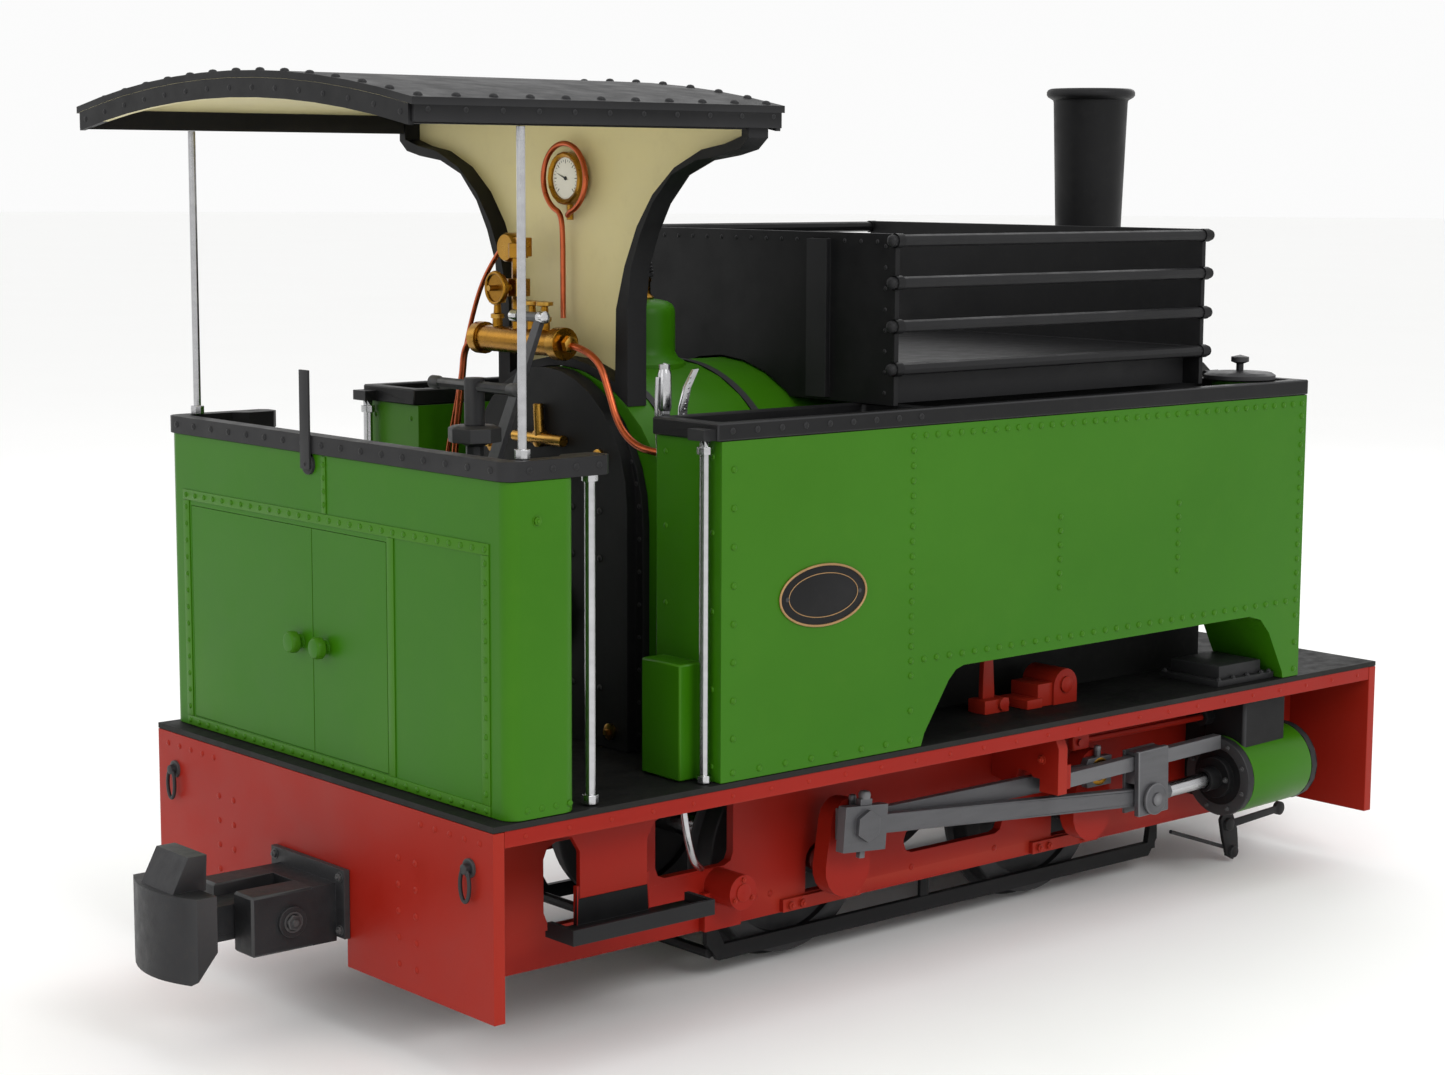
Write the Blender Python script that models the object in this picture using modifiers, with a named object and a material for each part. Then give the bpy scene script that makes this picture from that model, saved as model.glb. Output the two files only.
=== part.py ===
"""A 7 1/4 inch gauge 0-4-0 side-tank steam locomotive: frames, motion, boiler, tanks, cab and couplers.

World +X is the front of the engine, +Y its left side and +Z is up. The wheels stand on z = 0.
Shapes are laid out in half widths of the footplate (HALF_WIDTH): x from the outer face of the rear
beam, y from the middle and z from the top of the footplate. spot() turns them into metres.
"""

import math

import bmesh
import bpy
from mathutils import Matrix, Vector

HALF_WIDTH = 0.235  # metres from the middle of the footplate to its edge
GAP = 0.0014  # clearance between touching pieces, about 0.3 mm
LENGTH = 4.337  # over the two beams
RAIL = -0.835  # top of the rail
PLATE = 0.0195  # footplate thickness
FRAME_OUT = 0.62  # outer face of a frame plate
FRAME_IN = 0.586
FRAME_LOW = -0.605
REAR_AXLE = 1.667
FRONT_AXLE = 2.922
AXLE_Z = -0.445
AXLE_R = 0.055
TREAD_R = 0.365
THROW = 0.163  # crank radius
ROD_LENGTH = 1.468  # connecting rod between its centres
SLOPE = math.atan(0.03)  # the cylinders lean down towards the rear axle
CYLINDER_Y = 0.836
BAR_RISE = 0.14  # slide bar above the cylinder's axis
BOILER_Z = 0.651
BOILER_R = 0.615
TANK_IN = 0.673
TANK_OUT = 0.995
TANK_TOP = 1.09
RAIL_TOP = 1.08
DOME_X = 1.38
CHIMNEY_X = 3.687
LID_X = 3.63
LID_Y = 0.835

for old in list(bpy.data.objects):
    bpy.data.objects.remove(old, do_unlink=True)

engine = bpy.data.collections.new("steam_engine")
shapes = bpy.data.collections.new("shapes_and_cutters")
bpy.context.scene.collection.children.link(engine)
bpy.context.scene.collection.children.link(shapes)

PAINTS = {
    "green": ((0.045, 0.22, 0.012, 1.0), 0.35, 0.0),
    "red": ((0.40, 0.022, 0.012, 1.0), 0.38, 0.0),
    "black": ((0.016, 0.016, 0.017, 1.0), 0.45, 0.0),
    "dark": ((0.022, 0.022, 0.024, 1.0), 0.5, 0.3),
    "steel": ((0.55, 0.55, 0.56, 1.0), 0.25, 1.0),
    "grey": ((0.13, 0.13, 0.14, 1.0), 0.4, 0.8),
    "brass": ((0.45, 0.25, 0.06, 1.0), 0.3, 1.0),
    "cream": ((0.70, 0.62, 0.35, 1.0), 0.5, 0.0),
}


def spot(x, y, z):
    """World metres of a place given in half widths."""
    return Vector(((x - (LENGTH / 2)) * HALF_WIDTH, y * HALF_WIDTH, (z - RAIL) * HALF_WIDTH))


def freeze(thing, matrix=None):
    """Replaces an object by the mesh it evaluates to, welded, facing out and in world place."""
    bpy.context.view_layer.update()
    graph = bpy.context.evaluated_depsgraph_get()
    mesh = bpy.data.meshes.new_from_object(thing.evaluated_get(graph))
    form = bmesh.new()
    form.from_mesh(mesh)
    if matrix is not None:
        bmesh.ops.transform(form, matrix=matrix, verts=form.verts)
    bmesh.ops.remove_doubles(form, verts=form.verts, dist=1e-6)
    bmesh.ops.recalc_face_normals(form, faces=form.faces)
    form.to_mesh(mesh)
    form.free()
    bpy.data.objects.remove(thing)
    return solid(mesh)


def solid(mesh):
    """Makes a helper object of a mesh, shaded smooth with sharp edges."""
    mesh.shade_smooth()
    mesh.set_sharp_from_angle(angle=math.radians(32))
    thing = bpy.data.objects.new("shape", mesh)
    shapes.objects.link(thing)
    return thing


def block(x0, x1, y0, y1, z0, z1, round_edges=0.0):
    """A box between two corners, with rounded edges if asked for."""
    low = spot(min(x0, x1), min(y0, y1), min(z0, z1))
    high = spot(max(x0, x1), max(y0, y1), max(z0, z1))
    form = bmesh.new()
    bmesh.ops.create_cube(form, size=1.0)
    size = high - low
    bmesh.ops.scale(form, vec=size, verts=form.verts)
    bmesh.ops.translate(form, vec=(low + high) / 2, verts=form.verts)
    mesh = bpy.data.meshes.new("block")
    form.to_mesh(mesh)
    form.free()
    thing = solid(mesh)
    if round_edges:
        soften(thing, round_edges)
    return thing


def soften(thing, width, segments=1):
    """Rounds the edges of a piece."""
    bevel = thing.modifiers.new("round", "BEVEL")
    bevel.width = width * HALF_WIDTH
    bevel.segments = segments
    bevel.limit_method = "ANGLE"
    bevel.angle_limit = math.radians(40)
    return thing


SIDEWAYS = {
    "x": Matrix(((0, 0, 1, 0), (1, 0, 0, 0), (0, 1, 0, 0), (0, 0, 0, 1))),
    "y": Matrix(((1, 0, 0, 0), (0, 0, -1, 0), (0, 1, 0, 0), (0, 0, 0, 1))),
    "z": Matrix.Identity(4),
}


def plate(axis, low, high, outline, *holes):
    """A flat plate normal to an axis between two levels; the outlines are in the other two axes."""
    curve = bpy.data.curves.new("outline", "CURVE")
    curve.dimensions = "2D"
    curve.fill_mode = "BOTH"
    curve.extrude = abs(high - low) / 2 * HALF_WIDTH
    middle = (low + high) / 2
    for path in (outline, *holes):
        spline = curve.splines.new("POLY")
        spline.points.add(len(path) - 1)
        spline.use_cyclic_u = True
        for point, (a, b) in zip(spline.points, path):
            point.co = (a * HALF_WIDTH, b * HALF_WIDTH, 0.0, 1.0)
    thing = bpy.data.objects.new("outline", curve)
    shapes.objects.link(thing)
    shift = {"x": (middle, 0, 0), "y": (0, middle, 0), "z": (0, 0, middle)}[axis]
    place = Matrix.Translation(spot(*shift)) @ SIDEWAYS[axis]
    return freeze(thing, place)


def turned(profile, start, direction, steps=20, ring=False):
    """Revolves a profile of (radius, distance) about the line from start in a direction."""
    mesh = bpy.data.meshes.new("profile")
    verts = [(radius * HALF_WIDTH, 0.0, distance * HALF_WIDTH) for radius, distance in profile]
    count = len(verts)
    edges = [(i, (i + 1) % count) for i in range(count if ring else count - 1)]
    mesh.from_pydata(verts, edges, [])
    thing = bpy.data.objects.new("profile", mesh)
    shapes.objects.link(thing)
    screw = thing.modifiers.new("turn", "SCREW")
    screw.steps = steps
    screw.render_steps = steps
    screw.use_merge_vertices = True
    screw.merge_threshold = 0.00001
    turn = Vector(direction).to_track_quat("Z", "Y").to_matrix().to_4x4()
    return freeze(thing, Matrix.Translation(spot(*start)) @ turn)


def bar(start, end, radius, sides=8):
    """A round bar between two places."""
    first = spot(*start)
    last = spot(*end)
    form = bmesh.new()
    bmesh.ops.create_cone(
        form,
        cap_ends=True,
        segments=sides,
        radius1=radius * HALF_WIDTH,
        radius2=radius * HALF_WIDTH,
        depth=(last - first).length,
    )
    turn = (last - first).to_track_quat("Z", "Y").to_matrix().to_4x4()
    middle = Matrix.Translation((first + last) / 2)
    bmesh.ops.transform(form, matrix=middle @ turn, verts=form.verts)
    mesh = bpy.data.meshes.new("bar")
    form.to_mesh(mesh)
    form.free()
    return solid(mesh)


def spin(thing, x, z, angle):
    """Turns a piece about a crosswise line through (x, z); a positive angle lifts its front."""
    centre = spot(x, 0, z)
    turn = Matrix.Rotation(-angle, 4, "Y")
    thing.data.transform(Matrix.Translation(centre) @ turn @ Matrix.Translation(-centre))
    return thing


def lean(thing):
    """Tips a piece drawn along the level axle line to the slope of the cylinders."""
    return spin(thing, REAR_AXLE, AXLE_Z, SLOPE)


def finish(name, paint, pieces, cuts=(), pivot=None, parent=None):
    """Makes one node: the first piece, the others joined to it, the cutters taken away."""
    body = pieces[0]
    shapes.objects.unlink(body)
    engine.objects.link(body)
    body.name = name
    for piece in pieces[1:]:
        joining(body, piece, "UNION")
    for cut in cuts:
        joining(body, cut, "DIFFERENCE")
    material = bpy.data.materials.new(name)
    material.use_nodes = True
    shader = material.node_tree.nodes["Principled BSDF"]
    colour, roughness, metallic = PAINTS[paint]
    shader.inputs["Base Color"].default_value = colour
    shader.inputs["Roughness"].default_value = roughness
    shader.inputs["Metallic"].default_value = metallic
    body.data.materials.append(material)
    if pivot is not None:
        centre = spot(*pivot)
        body.data.transform(Matrix.Translation(-centre))
        body.location = centre
    if parent is not None:
        body.parent = parent
        body.location -= parent.location
    return body


def joining(body, other, operation):
    """Adds a Boolean with a helper shape."""
    step = body.modifiers.new(operation.lower(), "BOOLEAN")
    step.operation = operation
    step.solver = "EXACT"
    step.object = other
    other.hide_render = True
    other.display_type = "WIRE"


def rectangle(a0, a1, b0, b1):
    return [(a0, b0), (a1, b0), (a1, b1), (a0, b1)]


def arc(a, b, radius, start, end, steps):
    """Points on a circle from one angle to another, in degrees."""
    angles = [math.radians(start + (end - start) * i / steps) for i in range(steps + 1)]
    return [(a + radius * math.cos(t), b + radius * math.sin(t)) for t in angles]


def circle(a, b, radius, steps=12):
    return arc(a, b, radius, 0, 360, steps)[:-1]


def rounded(a0, a1, b0, b1, radius, steps=2):
    """A rectangle with round corners."""
    corners = ((a1, b1, 0), (a0, b1, 90), (a0, b0, 180), (a1, b0, 270))
    points = []
    for a, b, start in corners:
        in_a = a - radius if a == a1 else a + radius
        in_b = b - radius if b == b1 else b + radius
        points += arc(in_a, in_b, radius, start, start + 90, steps)
    return points


def web(hub, hub_r, end, end_r):
    """The outline round two circles, as on a crank."""
    across = math.degrees(math.atan2(end[1] - hub[1], end[0] - hub[0]))
    apart = math.hypot(end[0] - hub[0], end[1] - hub[1])
    tangent = math.degrees(math.acos((hub_r - end_r) / apart))
    back = arc(*hub, hub_r, across + tangent, across + 360 - tangent, 10)
    front = arc(*end, end_r, across - tangent, across + tangent, 8)
    return back + front


def mirrored(points):
    return [(-a, b) for a, b in points]


# ---------------------------------------------------------------- chassis


def footplate():
    """The deck with its valances and the two upright plates beside the boiler."""
    firebox_well = rectangle(1.05, 1.60, -0.355, 0.355)
    deck = plate("z", -PLATE, 0.0, rectangle(0.0, LENGTH, -1.0, 1.0), firebox_well)
    pieces = [deck]
    for side in (-1, 1):
        pieces.append(block(0.0424, LENGTH - 0.0424, side * 0.985, side * 0.998, -0.071, -0.01))
        pieces.append(block(1.76, 3.76, side * 0.55, side * 0.567, -0.01, 0.30))
    finish("footplate", "black", pieces)


def axle_slot(x):
    """The outline of a hornway, round at the top."""
    half = 0.064
    return [(x - half, -0.553), (x + half, -0.553)] + arc(x, AXLE_Z, half, 0, 180, 8)


def frame(name, side):
    outline = rectangle(0.041 + GAP, LENGTH - 0.041 - GAP, FRAME_LOW, -PLATE - GAP)
    holes = [
        rounded(0.47, 0.76, -0.475, -0.20, 0.05),
        rounded(0.93, 1.27, -0.395, -0.12, 0.04),
        rounded(2.08, 2.59, -0.495, -0.405, 0.04),
        axle_slot(REAR_AXLE),
        axle_slot(FRONT_AXLE),
    ]
    pieces = [plate("y", side * FRAME_IN, side * FRAME_OUT, outline, *holes)]
    out = FRAME_OUT - 0.01
    for axle in (REAR_AXLE, FRONT_AXLE):
        low = (FRAME_LOW + 0.004, -0.557)
        pieces.append(block(axle - 0.184, axle + 0.183, side * out, side * 0.640, *low))
    boss = bar((1.2, side * out, -0.457), (1.2, side * 0.754, -0.457), 0.06, 24)
    foot = block(1.12, 1.28, side * out, side * 0.65, FRAME_LOW + 0.003, -0.47)
    finish(name, "red", pieces + [boss, foot])


def beam(name, low_x):
    """A buffer beam with its lower middle cut away."""
    top = -PLATE - GAP
    half = 0.201
    outline = [(-1, -0.608), (-half, -0.608), (-half, -0.327), (half, -0.327), (half, -0.608)]
    outline += [(1, -0.608), (1, top), (-1, top)]
    finish(name, "red", [plate("x", low_x, low_x + 0.041, outline)])


def footstep(name, side):
    """A hanger plate with a tray for the foot, its outer and end edges turned up."""
    hanger = [(0.34, -0.10), (0.40, -0.12), (0.43, -0.17), (0.43, -0.32), (0.70, -0.32)]
    hanger += [(0.70, -0.17), (0.73, -0.12), (0.79, -0.10), (0.79, -0.0225), (0.34, -0.0225)]
    pieces = [
        plate("y", side * 0.84, side * 0.983, rectangle(0.31, 0.88, -0.425, -0.405)),
        block(0.31, 0.88, side * 0.965, side * 0.983, -0.42, -0.375),
        block(0.31, 0.328, side * 0.85, side * 0.98, -0.42, -0.375),
        block(0.862, 0.88, side * 0.85, side * 0.98, -0.42, -0.375),
        block(0.42, 0.71, side * 0.84, side * 0.858, -0.415, -0.28),
        plate("y", side * 0.843, side * 0.861, hanger),
    ]
    finish(name, "red", pieces)


def motion_bracket(name, side):
    """Carries the rear end of the slide bar, with a notch over the coupling rod."""
    inner = FRAME_OUT + GAP
    top = -PLATE - GAP
    outline = [(inner, top), (inner, -0.27), (0.735, -0.29), (0.755, -0.225), (0.806, -0.225)]
    outline += [(0.83, -0.243), (0.859, -0.243), (0.859, -0.29)]
    outline += [(0.95, -0.29), (0.95, -0.12), (0.90, top)]
    outline = [(side * y, z) for y, z in outline]
    pieces = [
        plate("x", 2.5265, 2.5735, outline),
        block(2.565, 2.65, side * 0.806, side * 0.90, -0.243, -0.20),
        block(2.565, 2.65, side * 0.859, side * 0.90, -0.29, -0.21),
    ]
    finish(name, "red", pieces)


def slide_bar(name, side):
    level = AXLE_Z + BAR_RISE
    shape = block(2.60, 3.565, side * 0.817, side * 0.855, level - 0.0275, level + 0.0275)
    finish(name, "steel", [lean(shape)])


def cylinder(name, side):
    """Cylinder with covers and lagging, its gland bored for the rod, and the steam chest above."""
    start = 3.48
    bore = 0.0325
    profile = [(0, 0.45), (bore, 0.45), (bore, 0), (0.045, 0), (0.045, 0.06), (0.08, 0.06)]
    profile += [(0.08, 0.09), (0.155, 0.09), (0.155, 0.12), (0.150, 0.12), (0.150, 0.48)]
    profile += [(0.155, 0.48), (0.155, 0.51), (0.07, 0.51), (0.07, 0.525), (0, 0.525)]
    barrel = lean(turned(profile, (start, side * CYLINDER_Y, AXLE_Z), (1, 0, 0), 16))
    under = -PLATE - GAP
    chest = block(3.605, 3.86, side * 0.73, side * 0.93, -0.28, under, 0.012)
    mount = block(3.63, 3.93, side * (FRAME_OUT + GAP), side * 0.76, -0.50, under - 0.002)
    gland = bar((3.56, side * 0.752, -0.167), (3.62, side * 0.752, -0.167), 0.034, 8)
    hole = bar((3.5, side * 0.752, -0.167), (3.82, side * 0.752, -0.167), 0.0145, 8)
    finish(name, "black", [barrel, mount, chest, gland], cuts=[hole])


def brake_rigging():
    """Two pull rods below the wheels, joined by a cross bar and hung from the frames."""
    pieces = [bar((1.27, -0.50, -0.735), (1.27, 0.50, -0.735), 0.02, 8)]
    for side in (-1, 1):
        outline = [(1.245, -0.70), (1.30, -0.765), (3.55, -0.765), (3.60, -0.70), (3.60, -0.62)]
        outline += [(3.56, -0.62), (3.545, -0.71), (1.325, -0.71), (1.29, -0.65), (1.245, -0.65)]
        pieces.append(plate("y", side * 0.49, side * 0.515, outline))
        for x in (2.30, 3.575):
            pieces.append(block(x - 0.022, x + 0.022, side * 0.495, side * 0.51, -0.74, -0.55))
            pin = side * (FRAME_IN - GAP)
            pieces.append(bar((x, side * 0.50, -0.58), (x, pin, -0.58), 0.016, 8))
    finish("brake_rigging", "black", pieces)


# ---------------------------------------------------------------- wheels and motion


def pin_of(axle_x, side):
    """The crank pin's place: straight up on the right, straight ahead on the left."""
    if side < 0:
        return axle_x, AXLE_Z + THROW
    return axle_x + THROW, AXLE_Z


def axle(name, x, pin_out):
    """An axle with a fly crank and its pin on each end."""
    shaft = bar((x, -0.72, AXLE_Z), (x, 0.72, AXLE_Z), AXLE_R, 24)
    pieces = [shaft]
    for side in (-1, 1):
        pin_x, pin_z = pin_of(x, side)
        shape = web((x, AXLE_Z), 0.105, (pin_x, pin_z), 0.08)
        pieces.append(plate("y", side * 0.70, side * 0.767, shape))
        pieces.append(bar((pin_x, side * 0.76, pin_z), (pin_x, side * pin_out, pin_z), 0.033))
    return finish(name, "red", pieces, pivot=(x, 0, AXLE_Z))


def wheel(name, x, side, parent):
    """A flanged wheel with a dished web; the flange is on the inner side."""
    hole = AXLE_R + GAP
    loop = [(hole, -0.005), (0.12, -0.005), (0.12, 0.02), (0.29, 0.03), (0.29, 0.0)]
    loop += [(0.39, 0.002), (0.39, 0.016), (TREAD_R, 0.028), (TREAD_R - 0.003, 0.1)]
    loop += [(0.29, 0.1), (0.29, 0.07), (0.12, 0.06), (0.12, 0.112), (hole, 0.112)]
    shape = turned(loop, (x, side * 0.3638, AXLE_Z), (0, side, 0), 20, ring=True)
    finish(name, "dark", [shape], pivot=(x, 0, AXLE_Z), parent=parent)


def coupling_rod(name, side, parent):
    x, z = pin_of(REAR_AXLE, side)
    span = FRONT_AXLE - REAR_AXLE
    half = 0.0335
    ends = [(-0.065, -0.055), (0.065, -0.055), (0.075, -half), (span - 0.075, -half)]
    ends += [(span - 0.065, -0.055), (span + 0.065, -0.055), (span + 0.065, 0.055)]
    ends += [(span - 0.065, 0.055), (span - 0.075, half), (0.075, half), (0.065, 0.055)]
    ends += [(-0.065, 0.055)]
    outline = [(x + a, z + b) for a, b in ends]
    holes = [circle(x, z, 0.0347), circle(x + span, z, 0.0347)]
    pieces = [plate("y", side * 0.770, side * 0.800, outline, *holes)]
    for centre in (x, x + span):
        low = (centre, side * 0.785, z + 0.045)
        pieces.append(bar(low, (centre, side * 0.785, z + 0.078), 0.0135, 8))
    finish(name, "grey", pieces, pivot=(x, 0, z), parent=parent)


def crosshead_place(side):
    """Where the crosshead's pin is, from the crank's place."""
    pin_x, pin_z = pin_of(REAR_AXLE, side)
    angle = math.atan2(pin_z - AXLE_Z, pin_x - REAR_AXLE) - SLOPE
    reach = THROW * math.cos(angle) + math.sqrt(ROD_LENGTH**2 - (THROW * math.sin(angle)) ** 2)
    return reach, REAR_AXLE + reach * math.cos(SLOPE), AXLE_Z + reach * math.sin(SLOPE)


def crosshead(name, side):
    """Two cheeks round the slide bar, with the gudgeon pin and the piston rod."""
    reach, pin_x, pin_z = crosshead_place(side)
    x = REAR_AXLE + reach
    low, high = AXLE_Z - 0.06, AXLE_Z + 0.19
    back, front = x - 0.08, x + 0.09
    bottom = AXLE_Z + BAR_RISE - 0.0275 - 0.003
    top = AXLE_Z + BAR_RISE + 0.0275 + 0.003
    inner, outer = 0.858, 0.885
    y = CYLINDER_Y
    pieces = [
        block(back, front, side * inner, side * outer, low, high, 0.004),
        block(back, front, side * 0.802, side * 0.814, low + 0.004, high - 0.004),
        block(back + 0.004, front - 0.004, side * 0.808, side * 0.87, top, high - 0.006),
        block(back + 0.004, front - 0.004, side * 0.808, side * 0.87, AXLE_Z + 0.062, bottom),
        block(x + 0.057, front - 0.005, side * 0.808, side * 0.87, low + 0.006, AXLE_Z + 0.08),
        bar((x, side * 0.807, AXLE_Z), (x, side * 0.87, AXLE_Z), 0.021),
        bar((x + 0.075, side * y, AXLE_Z), (x + 0.13, side * y, AXLE_Z), 0.034),
        bar((x + 0.07, side * y, AXLE_Z), (x + 0.62, side * y, AXLE_Z), 0.030, 20),
    ]
    for piece in pieces:
        lean(piece)
    return finish(name, "steel", pieces, pivot=(pin_x, 0, pin_z))


def connecting_rod(name, side, parent):
    """From the gudgeon pin back to the crank, with a block big end, oil cup and hexagon cap."""
    _, x, z = crosshead_place(side)
    pin_x, pin_z = pin_of(REAR_AXLE, side)
    dip = math.atan2(z - pin_z, x - pin_x)
    half = 0.0335
    far = -ROD_LENGTH
    eye = arc(0, 0, 0.05, -137.9, 137.9, 10)
    shape = eye + [(far + 0.1, half), (far + 0.1, 0.069), (far - 0.1, 0.069)]
    shape += [(far - 0.1, -0.089), (far + 0.1, -0.089), (far + 0.1, -half)]
    outline = [(x + a, z + b) for a, b in shape]
    end = x + far
    pieces = [
        plate("y", side * 0.817, side * 0.855, outline, circle(x, z, 0.0226, 8)),
        bar((end, side * 0.85, z), (end, side * 0.873, z), 0.0566, 6),
        block(end - 0.0275, end + 0.0275, side * 0.823, side * 0.849, z + 0.06, z + 0.091),
        block(end - 0.012, end + 0.012, side * 0.826, side * 0.846, z - 0.115, z - 0.08),
    ]
    for piece in pieces:
        spin(piece, x, z, dip)
    finish(name, "grey", pieces, pivot=(x, 0, z), parent=parent)


def valve_spindle(name, side):
    """The valve rod with its fork at the rear end."""
    y = side * 0.752
    level = -0.167
    pieces = [
        bar((2.87, y, level), (3.70, y, level), 0.0125, 8),
        block(2.81, 2.90, y - 0.016, y + 0.016, level - 0.03, level + 0.03, 0.006),
        bar((2.84, y - 0.026, level), (2.84, y + 0.026, level), 0.014, 8),
    ]
    finish(name, "red", pieces, pivot=(2.84, side * 0.752, level))


# ---------------------------------------------------------------- boiler and smokebox


def barrel_cutter(x0, x1, extra=GAP):
    return bar((x0, 0, BOILER_Z), (x1, 0, BOILER_Z), BOILER_R + extra, 32)


def boiler():
    """The lagged barrel with its firebox reaching down through the footplate."""
    barrel = bar((1.02, 0, BOILER_Z), (3.40, 0, BOILER_Z), BOILER_R, 32)
    firebox = block(1.07, 1.58, -0.34, 0.34, -0.25, 0.4)
    finish("boiler", "green", [barrel, firebox])


def smokebox():
    """The drum under the chimney, on its saddle, with a round opening in front."""
    start = 3.40 + GAP
    drum = bar((start, 0, BOILER_Z), (4.02, 0, BOILER_Z), BOILER_R + 0.006, 32)
    saddle = block(3.46, 3.92, -0.40, 0.40, GAP, 0.30)
    hollow = bar((3.55, 0, BOILER_Z), (4.2, 0, BOILER_Z), 0.43, 32)
    flue = bar((CHIMNEY_X, 0, BOILER_Z), (CHIMNEY_X, 0, 1.5), 0.10, 24)
    finish("smokebox", "black", [drum, saddle], cuts=[hollow, flue])


def smokebox_door():
    """A dished door with a hinge strap and a central dart handle."""
    start = 4.02 + GAP
    profile = [(0, 0), (0.48, 0), (0.48, 0.02), (0.45, 0.035), (0.30, 0.062), (0.12, 0.078)]
    profile += [(0, 0.08)]
    y_hinge = 0.50
    pieces = [
        turned(profile, (start, 0, BOILER_Z), (1, 0, 0), 20),
        bar((start + 0.07, 0, BOILER_Z), (start + 0.13, 0, BOILER_Z), 0.035),
        bar((start + 0.115, -0.12, BOILER_Z), (start + 0.115, 0.12, BOILER_Z), 0.013, 8),
        block(start + 0.012, start + 0.04, 0.40, y_hinge, BOILER_Z + 0.10, BOILER_Z + 0.14),
        block(start + 0.012, start + 0.04, 0.40, y_hinge, BOILER_Z - 0.14, BOILER_Z - 0.10),
        bar((start + 0.026, y_hinge, BOILER_Z - 0.17), (start + 0.026, y_hinge, BOILER_Z + 0.17), 0.02, 8),
    ]
    finish("smokebox_door", "black", pieces, pivot=(start + 0.026, y_hinge, BOILER_Z))


def chimney():
    """A tapered chimney with a rolled rim and a flared base shaped to the smokebox."""
    top = 2.2596
    profile = [(0.10, 1.05), (0.105, top), (0.168, top), (0.176, top - 0.012)]
    profile += [(0.176, top - 0.024), (0.168, top - 0.036), (0.148, top - 0.045), (0.132, 1.73)]
    profile += [(0.128, 1.42), (0.138, 1.35), (0.165, 1.31), (0.205, 1.285), (0.21, 1.16)]
    profile += [(0.21, 1.05)]
    shape = turned(profile, (CHIMNEY_X, 0, 0), (0, 0, 1), 16, ring=True)
    cutter = bar((3.2, 0, BOILER_Z), (4.3, 0, BOILER_Z), BOILER_R + 0.006 + GAP, 32)
    finish("chimney", "black", [shape], cuts=[cutter])


def dome():
    """The steam dome with a safety valve: brass seat and a ribbed bell on top."""
    low = 1.15
    profile = [(0, low), (0.15, low), (0.15, 1.262), (0.118, 1.278), (0.112, 1.30), (0.112, 1.43)]
    profile += [(0.10, 1.468), (0.03, 1.484), (0.028, 1.55), (0.02, 1.56), (0.036, 1.568)]
    profile += [(0.036, 1.59), (0.022, 1.66), (0.018, 1.69), (0, 1.69)]
    shape = turned(profile[::-1], (DOME_X, 0, 0), (0, 0, 1), 16)
    finish("dome", "green", [shape], cuts=[barrel_cutter(1.0, 1.8)])


def backhead():
    """The flat rear of the boiler: a stepped arch with the firehole in it."""
    arch = [(0.445, GAP)] + arc(0, 0.82, 0.445, 0, 180, 16) + [(-0.445, GAP)]
    flange = [(0.48, GAP)] + arc(0, 0.77, 0.48, 0, 180, 16) + [(-0.48, GAP)]
    pieces = [plate("x", 0.95, 1.01, arch), plate("x", 0.99, 1.0186, flange)]
    hole = bar((0.8, 0, 0.42), (1.01, 0, 0.42), 0.11, 20)
    finish("backhead", "black", pieces, cuts=[hole])


def firehole_door():
    """A round door on a hinge beside the firehole."""
    back = 0.95 - GAP
    axis_y = 0.17
    pieces = [
        bar((back - 0.022, 0, 0.42), (back, 0, 0.42), 0.135, 24),
        block(back - 0.022, back - 0.003, 0.10, axis_y, 0.39, 0.45),
        bar((back - 0.016, axis_y, 0.35), (back - 0.016, axis_y, 0.49), 0.0145, 8),
        bar((back - 0.05, -0.08, 0.42), (back - 0.015, -0.08, 0.42), 0.014, 8),
    ]
    finish("firehole_door", "dark", pieces, pivot=(back - 0.016, axis_y, 0.42))


# ---------------------------------------------------------------- tanks and bunker


def tank_outline():
    """Side view of a tank, with the archway over the motion in its lower edge."""
    lower = [(1.784, GAP), (1.80, 0.045), (1.914, 0.214), (1.947, 0.245), (1.986, 0.257)]
    lower += [(3.528, 0.262), (3.60, 0.243), (3.652, 0.188), (3.74, 0.026), (3.745, GAP)]
    return [(0.89, GAP)] + lower + [(3.84, GAP), (3.84, TANK_TOP), (0.89, TANK_TOP)]


def tank(name, side):
    """A side tank with a coal space at the rear and a filler neck in front."""
    body = plate("y", side * TANK_IN, side * TANK_OUT, tank_outline())
    pieces = [body]
    if side < 0:
        pieces.append(block(0.80, 0.90, -0.705, -0.90, 0.003, 0.38, 0.006))
    coal = block(0.925, 1.76, side * 0.72, side * 0.95, 0.78, 1.3)
    pieces.append(bar((LID_X, side * LID_Y, 1.05), (LID_X, side * LID_Y, 1.1474), 0.105, 16))
    neck = bar((LID_X, side * LID_Y, 0.86), (LID_X, side * LID_Y, 1.3), 0.08, 16)
    finish(name, "green", pieces, cuts=[coal, neck])


def tank_coping(name, side):
    """The coping round the coal space and the beading round the tank, with the cab pillar."""
    low = TANK_TOP + GAP
    rear = rounded(0.92, 1.765, 0.715, 0.955, 0.02, 2)
    front = rounded(1.84, 3.79, 0.70, 0.95, 0.03, 2)
    outline = [(0.87, TANK_IN), (3.843, TANK_IN), (3.843, 0.999), (0.87, 0.999)]
    if side < 0:
        outline, rear, front = ([(x, -y) for x, y in path] for path in (outline, rear, front))
    ring = soften(plate("z", low, 1.148, outline, rear, front), 0.008)
    pillar = bar((0.858, side * 0.95, GAP), (0.858, side * 0.95, 1.10), 0.017)
    tab = block(0.82, 0.90, side * 0.91, side * 0.99, low + 0.003, 1.13)
    collars = [
        bar((0.858, side * 0.95, z), (0.858, side * 0.95, z + 0.024), 0.026, 8)
        for z in (GAP + 0.002, 1.05)
    ]
    finish(name, "black", [ring, tab, pillar, *collars])


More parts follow.
